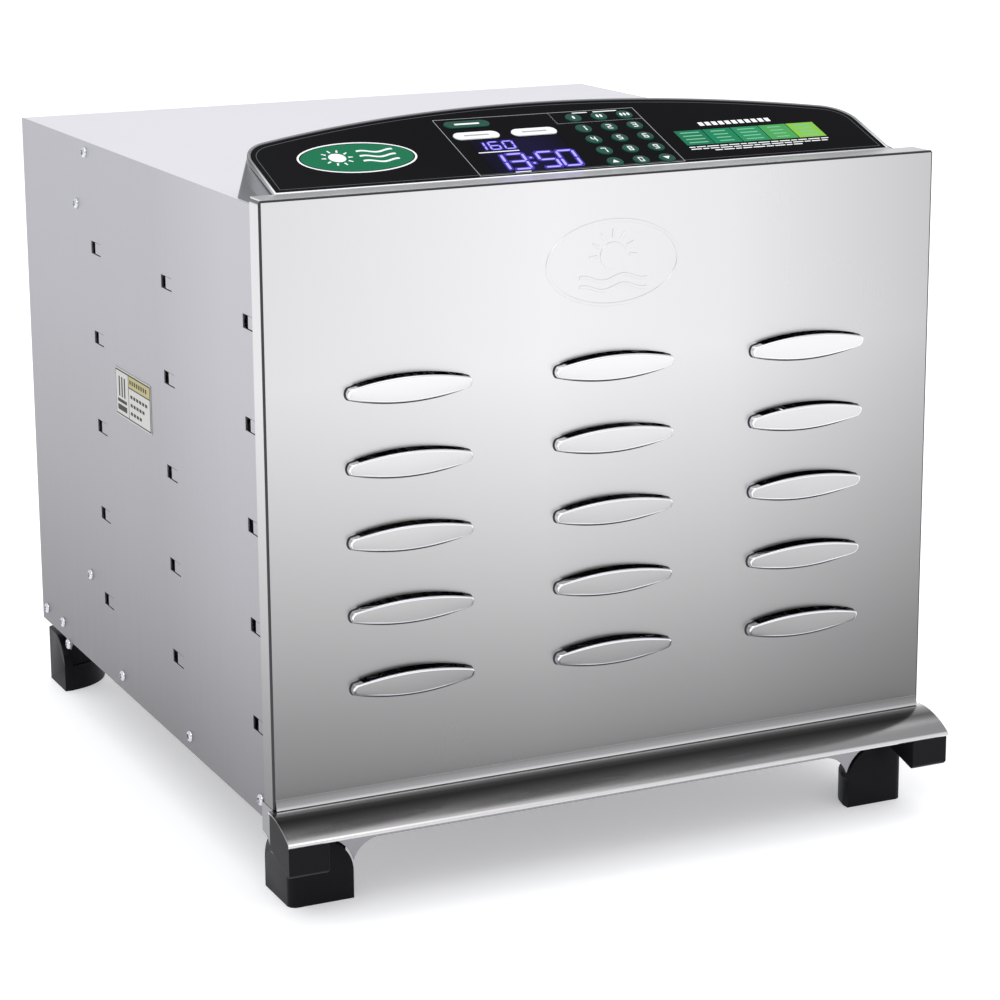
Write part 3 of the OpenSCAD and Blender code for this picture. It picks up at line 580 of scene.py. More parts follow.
class Rule(Graph):
    """A Geometry Nodes tree with named inputs; its last steps realise and set the finish."""

    def __init__(self, name, **inputs):
        tree = bpy.data.node_groups.new(name, "GeometryNodeTree")
        super().__init__(tree, "Geometry")
        for label, kind in inputs.items():
            tree.interface.new_socket(label, in_out="INPUT", socket_type="NodeSocket" + kind)
        tree.interface.new_socket("Geometry", in_out="OUTPUT", socket_type="NodeSocketGeometry")
        self.start = tree.nodes.new("NodeGroupInput")
        self.end = tree.nodes.new("NodeGroupOutput")

    def given(self, *labels):
        wires = [Wire(self, self.start.outputs[label]) for label in labels]
        return wires if len(wires) > 1 else wires[0]

    def vector(self, x, y, z):
        return self.node("ShaderNodeCombineXYZ", {0: x, 1: y, 2: z})

    def circle(self, count, radius):
        return self.node("CurvePrimitiveCircle", {"Resolution": count, "Radius": radius})

    def copies(self, points, shape, **more):
        placed = self.node("InstanceOnPoints", {"Points": points, "Instance": shape, **more})
        return self.node("RealizeInstances", {0: placed})

    def tube(self, curve, profile, capped=True):
        sockets = {"Curve": curve, "Profile Curve": profile, "Fill Caps": capped}
        return self.node("CurveToMesh", sockets)

    def close(self, geometry):
        painted = {"Geometry": geometry, "Material": self.given("Finish")}
        self.tree.links.new(self.node("SetMaterial", painted).socket, self.end.inputs[0])
        return self

    def close_at_centre(self, parts, turn=(0.0, 0.0, 0.0)):
        """Joins the parts, turns them, moves them to the centre and closes the rule."""
        join = self.tree.nodes.new("GeometryNodeJoinGeometry")
        for part in parts:
            self.tree.links.new(part.socket, join.inputs[0])
        joined = Wire(self, join.outputs[0])
        sockets = {"Geometry": joined, "Rotation": turn, "Translation": self.given("Centre")}
        return self.close(self.node("Transform", sockets))

    def make(self, name, **values):
        """Runs the tree with these inputs and returns its result as a plain object."""
        holder = linked(name, bpy.data.meshes.new(name))
        modifier = modify(holder, "NODES", node_group=self.tree)
        for item in self.tree.interface.items_tree:
            if item.in_out == "INPUT":
                modifier[item.identifier] = values[item.name]
        bake(holder, modifier)
        return holder


def grid_rule():
    """Repeats one shape over columns along X and rows along Z."""
    inputs = {"Columns": "Int", "Rows": "Int", "Pitch_X": "Float", "Pitch_Z": "Float"}
    rule = Rule("louvre_field", **inputs, Centre="Vector", Shape="Object", Finish="Material")
    columns, rows, pitch_x, pitch_z = rule.given(*inputs)
    size = {"Size X": (columns - 1.0) * pitch_x, "Size Y": (rows - 1.0) * pitch_z}
    grid = rule.node("MeshGrid", {**size, "Vertices X": columns, "Vertices Y": rows})
    upright = {"Rotation": (RIGHT_ANGLE, 0.0, 0.0), "Translation": rule.given("Centre")}
    places = rule.node("Transform", {"Geometry": grid, **upright})
    shape = rule.node("ObjectInfo", {"Object": rule.given("Shape")}, "Geometry")
    return rule.close(rule.copies(places, shape))


def screw_rule():
    """Sets one screw on each point, with its axis along the point's way out."""
    inputs = {"Places": "Object", "Shape": "Object", "Turn": "Float", "Seed": "Int"}
    rule = Rule("screw_set", **inputs, Finish="Material")
    places, shape, turn, seed = rule.given(*inputs)
    places = rule.node("ObjectInfo", {"Object": places}, "Geometry")
    shape = rule.node("ObjectInfo", {"Object": shape}, "Geometry")
    named = {"Name": "way_out"}
    way = rule.node("InputNamedAttribute", named, "Attribute", data_type="FLOAT_VECTOR")
    spin = rule.node("FunctionNodeRandomValue", {"Seed": seed}, 1, data_type="FLOAT")
    spun = rule.node("FunctionNodeEulerToRotation", {0: rule.vector(0.0, 0.0, spin * turn)})
    aimed = rule.node("FunctionNodeAlignRotationToVector", {"Vector": way}, axis="Z")
    both = {"Rotation": spun, "Rotate By": aimed}
    turned = rule.node("FunctionNodeRotateRotation", both, rotation_space="GLOBAL")
    return rule.close(rule.copies(places, shape, Rotation=turned))


def tray_rule():
    """A wire tray: a round-cornered rim, long wires on top of cross wires."""
    inputs = {"Width": "Float", "Depth": "Float", "Wire": "Float", "Rim": "Float", "Corner": "Float"}
    rule = Rule(
        "wire_tray", **inputs, Long="Int", Cross="Int", Centre="Vector", Finish="Material"
    )
    wide, deep, wire, thick, corner = rule.given(*inputs)
    rim = rule.node("CurvePrimitiveQuadrilateral", {"Width": wide, "Height": deep})
    bent = {"Curve": rim, "Radius": corner, "Count": 6, "Limit Radius": True}
    rim = rule.node("FilletCurve", bent, mode="POLY")
    parts = [rule.tube(rim, rule.circle(12, thick))]
    thin = rule.circle(8, wire)
    runs = (("Long", wide, deep * 0.5, wire), ("Cross", deep, wide * 0.5, wire * -1.0))
    for label, span, half, level in runs:

        def put(across, along, up):
            return rule.vector(*((across, along) if label == "Long" else (along, across)), up)

        ends = {"Start": put(0.0, half * -1.0, level), "End": put(0.0, half, level)}
        count = rule.given(label)
        gap = span * (count + 1.0) ** -1.0
        row = {"Start Location": put(gap - span * 0.5, 0.0, 0.0), "Offset": put(gap, 0.0, 0.0)}
        points = rule.node("MeshLine", {"Count": count, **row}, mode="OFFSET")
        parts.append(rule.tube(rule.copies(points, rule.node("CurvePrimitiveLine", ends)), thin))
    return rule.close_at_centre(parts)


def guard_rule():
    """Rings about one axis and straight spokes through it."""
    inputs = {"First": "Float", "Step": "Float", "Reach": "Float", "Wire": "Float"}
    rule = Rule(
        "fan_guard", **inputs, Rings="Int", Spokes="Int", Centre="Vector", Finish="Material"
    )
    first, step, reach, wire = rule.given(*inputs)
    index = rule.node("InputIndex")
    thin = rule.circle(8, wire)
    still = (0.0, 0.0, 0.0)
    points = rule.node("MeshLine", {"Count": rule.given("Rings"), "Offset": still})
    size = index * step + first
    rings = rule.copies(points, rule.circle(64, 1.0), Scale=rule.vector(size, size, size))
    ends = {"Start": rule.vector(reach * -1.0, 0.0, wire), "End": rule.vector(reach, 0.0, wire)}
    line = rule.node("CurvePrimitiveLine", ends)
    hub = rule.node("MeshLine", {"Count": rule.given("Spokes"), "Offset": still})
    angle = index * rule.given("Spokes") ** -1.0 * math.pi
    turned = rule.node("FunctionNodeEulerToRotation", {0: rule.vector(0.0, 0.0, angle)})
    spokes = rule.copies(hub, line, Rotation=turned)
    parts = [rule.tube(rings, thin, False), rule.tube(spokes, thin)]
    return rule.close_at_centre(parts, (RIGHT_ANGLE, 0.0, 0.0))


def source(name, shape):
    """A passing object whose mesh a rule repeats; each face keeps its kind as a mark."""
    mesh = mesh_of(name, shape.points, shape.faces)
    mesh.attributes.new("kind", "INT", "FACE").data.foreach_set("value", shape.kinds)
    clean(mesh)
    return linked(name, mesh)


def paint_kinds(made, finishes):
    """Gives each face the finish that its kind names, and drops the mark."""
    coat(made.data, finishes)
    marks = made.data.attributes["kind"]
    made.data.polygons.foreach_set("material_index", [mark.value for mark in marks.data])
    made.data.attributes.remove(made.data.attributes["kind"])


def drop(made):
    bpy.data.objects.remove(made)


# ---------------- door


def louvre_half(x):
    """Half height of a louvre's outline at x: two flat arcs, cut short by round ends."""
    tip = LOUVRE_W / 2 + LOUVRE_PAST_END
    r = (tip**2 + (LOUVRE_H / 2) ** 2) / LOUVRE_H
    arch = math.sqrt(r**2 - x**2) - r + LOUVRE_H / 2
    over = abs(x) - (LOUVRE_W / 2 - LOUVRE_END)
    if over <= 0:
        return arch
    return min(arch, math.sqrt(max(LOUVRE_END**2 - over**2, 0.0)))


def louvre_loop(count):
    """Points round a louvre's outline, upper arch first, evenly enough at the round ends."""
    xs = [LOUVRE_W / 2 * math.sin(RIGHT_ANGLE * (2 * i / count - 1)) for i in range(count + 1)]
    upper = [(x, louvre_half(x)) for x in xs]
    return upper + [(x, -louvre_half(x)) for x in reversed(xs[1:-1])]


def louvre_column(x, z):
    """The hood's section at one point of its outline, from inside the sheet to the rolled edge."""
    shallow, roll, tuck, sunk = 0.9, 1.2, 0.8, -0.06
    depth = shallow + (LOUVRE_OUT - shallow) * (z + LOUVRE_H / 2) / LOUVRE_H
    turn = min(roll, depth * 0.8)
    aim_x = x / 6.0
    length = math.hypot(aim_x, z) or 1.0
    in_x, in_z = -aim_x / length, -z / length
    column = [(x - in_x * tuck, sunk, z - in_z * tuck), (x, sunk, z), (x, -depth + turn, z)]
    for k in range(1, 5):
        a = RIGHT_ANGLE * k / 4
        step = turn * (1.0 - math.cos(a))
        column.append((x + in_x * step, -depth + turn - turn * math.sin(a), z + in_z * step))
    return column


def louvre_hood():
    """One hood on the plane y = 0: rolled edges, closed ends and an open upper edge."""
    loop = louvre_loop(44)
    n = len(loop)
    open_to = LOUVRE_W / 2 - LOUVRE_END - 1.0
    columns = [louvre_column(x, z) for x, z in loop]
    opened = [z > 0 and abs(x) < open_to for x, z in loop]
    tall = len(columns[0])
    walls, rolls_and_painted_highlight = [], []
    for i in range(n):
        j = (i + 1) % n
        for k in range(tall - 1):
            if k < 2 and opened[i] and opened[j]:
                continue
            face = (i * tall + k, j * tall + k, j * tall + k + 1, i * tall + k + 1)
            # Rolled edges take the polished finish, and so do the left end walls as a painted highlight;
            # the other walls and the crease ring on the sheet take the painted shade.
            bright = k > 1 or (k == 1 and loop[i][0] < -open_to)
            (rolls_and_painted_highlight if bright else walls).append(face)
    top, half = tall - 1, n // 2
    lens = [(0, 1, n - 1)] + [(i, i + 1, n - i - 1, n - i) for i in range(1, half - 1)]
    lens.append((half - 1, half, half + 1))
    lens = [[i * tall + top for i in face] for face in lens]
    shape = Shape()
    shape.add([p for column in columns for p in column], lens + rolls_and_painted_highlight + walls)
    shape.kinds = [0] * len(lens) + [1] * len(rolls_and_painted_highlight) + [2] * len(walls)
    return shape


def hood_opening(cx, cz):
    """Outline of the cut in the front sheet, which reaches above the hood's upper edge."""
    points = []
    for x, z in louvre_loop(28):
        rise = 1.1 if z > 0 and abs(x) < LOUVRE_W / 2 - 3.0 else 0.0
        points.append((cx + x * 0.985, cz + z * 0.96 + rise))
    return points


def door_skin():
    """Front sheet with louvre openings and a flared foot."""
    side = HALF_DOOR - BEND_R
    loops = [bar(-side, DOOR_LOW.z + FLARE_TALL, side, DOOR_HIGH.z - BEND_R)]
    for column in range(LOUVRE_COLUMNS):
        for row in range(LOUVRE_ROWS):
            cx = (column - (LOUVRE_COLUMNS - 1) / 2) * LOUVRE_PITCH_X
            loops.append(hood_opening(cx, LOUVRE_TOP - row * LOUVRE_PITCH_Z))
    work = bmesh.new()
    edges = []
    for loop in loops:
        verts = [work.verts.new(Vector((x, DOOR_FACE, z)) * MM) for x, z in loop]
        for i, vert in enumerate(verts):
            edges.append(work.edges.new((vert, verts[(i + 1) % len(verts)])))
    bmesh.ops.triangle_fill(work, use_beauty=True, use_dissolve=False, edges=edges)
    mesh = bpy.data.meshes.new("door_front")
    work.to_mesh(mesh)
    work.free()
    front = Shape()
    front.add([v.co / MM for v in mesh.vertices], [list(p.vertices) for p in mesh.polygons])
    flare = [(0.0, FLARE_TALL), (0.0, 5.6), (-0.25, 5.0), (-1.0, 2.6)]
    flare += [(-DOOR_FLARE + 0.15, 0.3), (-DOOR_FLARE, 0.0)]
    for (y0, z0), (y1, z1) in zip(flare, flare[1:]):
        quad = [(-side, y0, z0), (side, y0, z0), (side, y1, z1), (-side, y1, z1)]
        front.add([(x, DOOR_FACE + y, DOOR_LOW.z + z) for x, y, z in quad], [(0, 1, 2, 3)], 1)
    return front


def door_rim():
    """Side and top flanges, each joined to the front by a tight bend whose dark colour is a painted shade.
    """
    rim = Shape()
    low, high = DOOR_LOW.z, DOOR_HIGH.z
    bend_y = DOOR_FACE + BEND_R
    cut, gap = 0.35, 2.2
    for side in (-1, 1):
        out, inner = side * HALF_DOOR, side * (HALF_DOOR - SHEET)
        side_back = DOOR_FACE + DOOR_SIDE_FLANGE
        rim.box((min(out, inner), bend_y, low), (max(out, inner), side_back, high - gap))
        edge = [(out, bend_y), (side * (HALF_DOOR - cut), DOOR_FACE + cut)]
        edge += [(side * (HALF_DOOR - BEND_R), DOOR_FACE), (inner, bend_y)]
        rim.prism(edge, low + 0.3, high - 1.0, 1)
    rim.box((-HALF_DOOR + gap, bend_y, high - SHEET), (HALF_DOOR - gap, DOOR_HIGH.y, high))
    across = Shape()
    edge = [(bend_y, high), (DOOR_FACE + cut, high - cut), (DOOR_FACE, high - BEND_R)]
    edge += [(bend_y, high - SHEET)]
    across.prism(edge, -HALF_DOOR + 1.0, HALF_DOOR - 1.0)
    across.moved(lambda p: Vector((p.z, p.x, p.y)))
    rim.add(across.points, across.faces, 1)
    return rim


def emblem():
    """Pressed sign of a sun over two waves of warm air inside an oval bead."""
    shape = Shape()
    sunk, rise = -0.5, 0.45
    shape.ring(oval(0, 0, 43.5, 25.5), oval(0, 0, 41.6, 23.6), sunk, rise)
    shape.prism(oval(0, 4, 8.5, 8.0, 32), sunk, rise)
    for a, ray in rays(0, 4, 12, 10.5, 15.5, 0.9, 0.5):
        if a < math.pi * 1.1 or a > math.pi * 1.9:
            shape.prism(ray, sunk, rise)
    for level in (-9.0, -14.5):
        wave = [(x, level + 1.6 * math.sin(x / 4.2)) for x in range(-22, 23)]
        shape.prism(band(wave), sunk, rise)
    return shape.moved(lambda p: Vector((p.x, DOOR_FACE - p.z, EMBLEM_Z + p.y)))


def make_door():
    door_skin().piece(
        "door_front", "door", [STEEL_DOOR, FLARE], "door_steel", ("door_panel",), 12.0, 0.0, 0.9
    )
    door_rim().piece("door_flanges", "door", [STEEL_DOOR, PAINTED_SHADE_BEND], "door_steel", (), 30.0, 0.15)
    emblem().piece("door_emblem", "door", STEEL_DOOR, "door_steel", (), 35.0, 0.25)
    hood = source("hood_source", louvre_hood())
    middle_z = LOUVRE_TOP - (LOUVRE_ROWS - 1) / 2 * LOUVRE_PITCH_Z
    pitch = {"Pitch_X": LOUVRE_PITCH_X * MM, "Pitch_Z": LOUVRE_PITCH_Z * MM}
    field = {"Columns": LOUVRE_COLUMNS, "Rows": LOUVRE_ROWS, **pitch}
    centre = Vector((0.0, DOOR_FACE, middle_z)) * MM
    louvres = grid_rule().make(
        "door_louvres", **field, Centre=centre, Shape=hood, Finish=LOUVRE_SHEET
    )
    drop(hood)
    # Kind 1 is the polished roll, with a painted highlight on the left end walls; kind 2 is painted shade.
    paint_kinds(louvres, [LOUVRE_SHEET, POLISHED_AND_PAINTED_HIGHLIGHT, PAINTED_SHADE_BEND])
    clean(louvres.data)
    dress(louvres, "door", LOUVRE_SHEET, (), 40.0, 0.0, 0.7)


# ---------------- ledge, feet and caps


def make_ledge():
    """Ledge sheet rolled over at its front edge, with the flange it hangs from."""
    top = LEDGE_HIGH.z
    centre_z = top - LEDGE_R
    roll = 1.0
    end = math.asin((DOOR_FACE - LEDGE_LOW.y - roll) / LEDGE_R)
    roll_y = DOOR_FACE - (LEDGE_R - roll) * math.sin(end)
    roll_z = centre_z + (LEDGE_R - roll) * math.cos(end)
    profile = arc(roll_y, roll_z, roll, math.radians(60), math.radians(-210), 6)
    profile += arc(DOOR_FACE, centre_z, LEDGE_R, RIGHT_ANGLE + end, RIGHT_ANGLE, 24)
    profile.append((DOOR_FACE + 1.6, top))
    shape = Shape()
    half = LEDGE_HIGH.x
    faces = [(2 * i, 2 * i + 1, 2 * i + 3, 2 * i + 2) for i in range(len(profile) - 1)]
    shape.add([(x, y, z) for y, z in profile for x in (-half, half)], faces)
    stands_for = ("front_ledge",)
    shape.piece("ledge_sheet", "case", STEEL_LEDGE, "ledge_steel", stands_for, 40.0, 0.0, 0.8)
    hang = Shape()
    hang.box((-HALF_DOOR, DOOR_FACE + 1.0, LEDGE_LOW.z), (HALF_DOOR, DOOR_FACE + 2.0, top - 0.4))
    hang.piece("ledge_flange", "case", STEEL_PAN, "ledge_steel", (), 30.0, 0.2)


def make_feet():
    feet = ["foot_" + end + "_" + side for end in ("front", "rear") for side in ("left", "right")]
    for name in feet + ["ledge_cap_left", "ledge_cap_right"]:
        refine(name + "_moulding", name, BLACK, "case", 0.7)


# ---------------- screws

HEAD_DEEP = 2.0
GUARD_SCREW_X = 90.0


def pan_head():
    """Cross-recessed pan head on the plane z = 0."""
    shape = Shape()
    turns, flat_r, flat_z = 16, 2.0, 1.9
    rings = [(3.6, 0.0), (3.6, 0.5), (3.35, 1.1), (2.8, 1.6), (flat_r, flat_z)]
    shape.skin([[(x, y, z) for x, y in oval(0.0, 0.0, r, r, turns)] for r, z in rings], first=True)
    cross = [(1.9, 0.35), (0.35, 0.35), (0.35, 1.9)]
    for quarter in range(3):
        cross += [(-y, x) for x, y in cross[-3:]]
    edge_z = flat_z + 0.02
    inner = [(x * 0.6, y * 0.6, 0.7) for x, y in cross]
    shape.skin([[(x, y, edge_z) for x, y in cross], inner], last=True)
    rim = oval(0.0, 0.0, flat_r, flat_r, turns)

    def nearest(x, y):
        return min(cross, key=lambda c: (c[0] - x) ** 2 + (c[1] - y) ** 2)

    for here, after in zip(rim, rim[1:] + rim[:1]):
        near, far = nearest(*here), nearest(*after)
        corner = [(*here, flat_z), (*after, flat_z), (*far, edge_z)]
        corner += [] if near == far else [(*near, edge_z)]
        shape.add(corner, [list(range(len(corner)))])
    return shape


def screw_places(spots):
    """A mesh of points that hold the way each screw faces."""
    mesh = mesh_of("screw_places", [p for p, way in spots])
    attribute = mesh.attributes.new("way_out", "FLOAT_VECTOR", "POINT")
    for entry, (p, way) in zip(attribute.data, spots):
        entry.vector = way
    return linked("screw_places", mesh)


def islands(node):
    """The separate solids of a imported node: (low, high) of each, in millimetres."""
    work = bmesh.new()
    work.from_mesh(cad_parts[node].data)
    bmesh.ops.remove_doubles(work, verts=work.verts, dist=0.000005)
    found = []
    seen = set()
    for vert in work.verts:
        if vert in seen:
            continue
        seen.add(vert)
        group = [vert]
        for one in group:
            near = {edge.other_vert(one) for edge in one.link_edges} - seen
            seen |= near
            group += near
        low, high = (
            Vector([pick(v.co[k] / MM for v in group) for k in range(3)]) for pick in (min, max)
        )
        found.append((low, high))
    work.free()
    return found


def make_screws():
    """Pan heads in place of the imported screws, each turned by chance about its own axis."""
    head = source("head_source", pan_head())
    rule = screw_rule()
    for node in ("case_screws", "fan_screws"):
        spots = []
        for low, high in islands(node):
            x, y, z = (low + high) / 2
            if node == "case_screws" and high.x - low.x < high.y - low.y:
                side = math.copysign(1.0, x)
                spots.append(((side * SIDE_X, y, z), (side, 0.0, 0.0)))
            elif node == "fan_screws" and abs(x) < GUARD_SCREW_X:
                spots.append(((x, low.y + HEAD_DEEP, z), (0.0, -1.0, 0.0)))
            else:
                spots.append(((x, high.y - HEAD_DEEP, z), (0.0, 1.0, 0.0)))
        places = screw_places(spots)
        shape = {"Places": places, "Shape": head, "Finish": SCREW_STEEL}
        made = rule.make(node[:-1] + "_heads", **shape, Turn=6.0, Seed=3)
        drop(places)
        dress(made, "case", SCREW_STEEL, (node,), 40.0)
    drop(head)


# ---------------- console


def make_housing():
    """Moulded surround: its walls lean in to the roof, and its lip carries the trim."""
    top, lip = (
        [on_slope((u, s, -FASCIA_T)) for u, s in arch_outline(FRAME_SHAPE, inset)]
        for inset in (0.0, 3.0)
    )
    foot = [Vector((x, CONSOLE_Y + y, ROOF_Z)) for x, y in arch_outline(FOOT_SHAPE, 0.0)]
    rows = [[a.lerp(b, k / 8) for a, b in zip(foot, top)] for k in range(8)]
    rows += [top, lip, [p - Vector((0.0, 0.0, 4.0)) for p in lip]]
    shape = Shape()
    shape.skin(rows)
    stands_for = ("control_housing",)
    shape.piece("console_surround", "case", CONSOLE, "console_grey", stands_for, 40.0)


def make_trim():
    """Bright bead round the fascia with a rounded top; its colour holds a painted highlight at the front
    that fades to painted shade at the rear.
    """
    section = [(0.0, -FASCIA_T), (0.0, 0.0), (0.3, 0.38), (0.9, 0.5), (1.5, 0.38), (2.0, 0.0)]
    section.append((2.0, -FASCIA_T))
    shape = Shape()
    shape.skin([[(u, s, n) for u, s in arch_outline(FRAME_SHAPE, r)] for r, n in section], True)
    shape.moved(on_slope)
    shape.piece("console_trim", "case", TRIM, "bright_trim", ("fascia_trim",), 50.0)


def prints(name, finish, flat, height=0.05, slot="fascia_black"):
    """Flat printed shapes on the fascia; each is an outline, or a pair of an outer and an inner one."""
    shape = Shape()
    for item in flat:
        if isinstance(item, tuple):
            shape.ring(*item, 0.0, height)
        else:
            shape.prism(item, 0.0, height)
    shape.moved(on_slope)
    shape.piece(name, "case", finish, slot, (), 30.0)


# A digit's corners are (across, up) from (0, 0) to (1, 2).
SEGMENTS = {
    "a": ((0, 2), (1, 2)), "b": ((1, 2), (1, 1)), "c": ((1, 1), (1, 0)), "d": ((0, 0), (1, 0)),
    "e": ((0, 1), (0, 0)), "f": ((0, 2), (0, 1)), "g": ((0, 1), (1, 1)),
}
DIGITS = {
    "0": "abcdef", "1": "bc", "2": "abged", "3": "abgcd", "4": "fgbc",
    "5": "afgcd", "6": "afgcde", "7": "abc", "8": "abcdefg", "9": "abcdfg",
}


def strokes(digit, u, s, width, height, half, inset, pointed):
    """Outlines of a digit's bars, from its lower left corner, with pointed or square ends."""
    bars = []
    for key in DIGITS[digit]:
        a, b = (Vector((u + x * width, s + y * height / 2)) for x, y in SEGMENTS[key])
        along = (b - a).normalized()
        across = Vector((-along.y, along.x)) * half
        a, b = a + along * inset, b - along * inset
        lead = along * half * (1.0 if pointed else -1.0)
        points = [a + lead + across, b - lead + across, b - lead - across, a + lead - across]
        if pointed:
            points = [a, *points[:2], b, *points[2:]]
        bars.append([tuple(p) for p in points])
    return bars


def lit_digits(text, u0, s0, width, height, pitch, thick):
    """Outlines of the lit bars of a row of digits, slanted a little."""
    bars = []
    u = u0
    for character in text:
        if character == ":":
            for level in (0.32, 0.68):
                dot = (u + thick * 0.4, s0 + height * level, thick * 0.55, thick * 0.55)
                bars.append(oval(*dot, 10))
            u += pitch * 0.42
        else:
            bars += strokes(character, u, s0, width, height, thick / 2, width * 0.045, True)
            u += pitch
    return [[(x + (y - s0) * 0.08, y) for x, y in one] for one in bars]


def key_place(column, row):
    return (16.0 + 17.2 * column, 9.2 + 14.4 * row)


def cap_piece(name, centre, outline, legend, finish, slot):
    """Key cap with a rounded, slightly dished top and its printed legend."""
    cu, cs = centre
    levels = [(0.0, -2.2), (0.0, 0.05), (0.12, 0.32), (0.4, 0.47), (0.9, 0.5), (2.2, 0.44)]
    rows = []
    for inset, height in levels:
        row = []
        for u, s in outline:
            length = math.hypot(u, s)
            keep = 1.0 - min(inset / length, 0.9)
            row.append((cu + u * keep, cs + s * keep, height))
        rows.append(row)
    shape = Shape()
    shape.skin(rows, first=True, last=True)
    for one in legend:
        shape.prism([(cu + u, cs + s) for u, s in one], 0.3, 0.53, 1)
    shape.moved(on_slope)
    shape.piece(name + "_cap", name, finish, slot, (name,), 40.0)


def make_keys():
    disc = oval(0.0, 0.0, 5.2, 5.2, 36)
    green = ([CAP_GREEN, INK_WHITE], "key_green")
    white = ([CAP_WHITE, INK_GREY], "key_white")
    size = 4.6
    wide = size * 0.52
    for digit in range(10):
        column, row = (1, 0) if digit == 0 else ((digit - 1) % 3, 3 - (digit - 1) // 3)
        corner = (-wide / 2, -size / 2, wide, size)
        legend = strokes(str(digit), *corner, size * 0.085, 0.0, False)
        cap_piece("key_%d" % digit, key_place(column, row), disc, legend, *green)
    arrow = [(-2.2, -1.5), (2.2, -1.5), (0.0, 2.0)]
    cap_piece("key_up", key_place(0, 0), disc, [arrow], *green)
    cap_piece("key_down", key_place(2, 0), disc, [[(u, -s) for u, s in arrow]], *green)
    for i in range(3):
        legend = [oval((k - i / 2) * 2.4, 0.0, 0.8, 1.9, 12) for k in range(i + 1)]
        cap_piece("key_preset_%d" % (i + 1), key_place(i, 4), disc, legend, *green)
    long_cap = stadium(29.5, 8.6)
    cap_piece("key_power", (-54.0, 67.6), long_cap, [bar(-8.0, -0.9, 8.0, 0.9)], *green)
    for name, place in (("key_mode", (-54.0, 53.0)), ("key_start", (-16.5, 53.0))):
        cap_piece(name, place, long_cap, [bar(-8.0, -0.7, 8.0, 0.7)], *white)


def make_badge():
    """Sign of a sun and warm air on a green oval."""
    cu, cs = -136.0, 36.5
    prints("badge_field", INK_GREEN, [oval(cu, cs, 34.5, 16.6)])
    marks = [(oval(cu, cs, 36.5, 18.5), oval(cu, cs, 35.3, 17.3))]
    sun = (cu - 12.0, cs + 1.0)
    marks.append(oval(*sun, 5.2, 5.2, 28))
    marks += [ray for a, ray in rays(*sun, 10, 6.8, 9.6, 0.7, 0.4)]
    for level in (-5.5, 0.5, 6.5):
        wave = [(cu + x / 2.0, cs + level + 1.3 * math.sin(x / 6.0)) for x in range(4, 50)]
        marks.append(band(wave))
    prints("badge_marks", INK_WHITE, marks, 0.08)


def frame_line(x0, y0, x1, y1, wide):
    """An outline and the one inside it."""
    return (bar(x0, y0, x1, y1), bar(x0 + wide, y0 + wide, x1 - wide, y1 - wide))


def make_fascia():
    """The printed overlay: border, lines, bars in place of words, and the drying guide."""
    coat(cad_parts["control_fascia"].data, OVERLAY)
    coat(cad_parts["display_lens"].data, WINDOW)
    make_badge()
    border = (arch_outline(FRAME_SHAPE, 5.0), arch_outline(FRAME_SHAPE, 5.35))
    prints("fascia_border", INK_FAINT, [border], 0.04)
    lines = [frame_line(-73.0, 3.7, 60.0, 75.5, 0.4), frame_line(2.5, 60.5, 59.6, 61.0, 0.1)]
    lines.append(frame_line(2.4, 60.5, 2.9, 75.1, 0.1))
    prints("panel_lines", INK_GREY, lines, 0.04)
    captions = [bar(18.0, 72.6, 28.0, 73.6), bar(32.0, 72.6, 48.0, 73.6)]
    captions += [bar(-62.0, 31.0, -36.0, 32.0), bar(-50.0, 5.0, -40.0, 6.0)]
    captions += [bar(92.0 + i * 4.6, 46.0, 95.2 + i * 4.6, 50.5) for i in range(11)]
    guide, cell_pitch, cell_wide, note_pitch = 71.0, 19.4, 18.8, 4.2
    for row, (left, right) in enumerate(((guide, 167.0), (guide, 165.0), (86.0, 146.0))):
        u = left
        step = 0
        while u < right:
            length = 4.0 + (step * 7 + row * 3) % 5
            captions.append(bar(u, 19.4 - row * 2.6, min(u + length, right), 20.4 - row * 2.6))
            u += length + 1.0
            step += 1
    prints("fascia_captions", INK_WHITE, captions)
    notes = []
    for i, tint in enumerate(GUIDE_TINTS):
        u = guide + i * cell_pitch
        ink = printed("ink_guide_%d" % (i + 1), tint)
        prints("guide_cell_%d" % (i + 1), ink, [bar(u, 22.5, u + cell_wide, 41.2)])
        for k in range(4):
            half = (13.0 - (i * 3 + k * 5) % 5) / 2
            middle, top = u + cell_wide / 2, 38.8 - k * note_pitch
            notes.append(bar(middle - half, top - 1.2, middle + half, top))
    prints("guide_notes", INK_NOTE, notes, 0.07)


def make_display():
    """Lit digits, and a fainter painted glow about each bar."""
    big = lit_digits("13:50", -61.5, 9.0, 10.2, 18.5, 13.4, 1.5)
    small = lit_digits("160", -61.0, 34.6, 6.0, 9.2, 9.2, 0.9)
    prints("lit_digits", LIT, big + small, 0.06, "display_blue")
    glow = []
    for one in big + small:
        cx = sum(x for x, y in one) / len(one)
        cy = sum(y for x, y in one) / len(one)
        grow = 1.0 if one in big else 0.6
        wide = [(cx + (x - cx) * 1.12, cy + (y - cy) * 1.12) for x, y in one]
        glow.append([(x + grow * (1 if x > cx else -1), y + grow * (1 if y > cy else -1)) for x, y in wide])
    prints("digit_halo", PAINTED_GLOW, glow, 0.03, "display_blue")


# ---------------- side plate


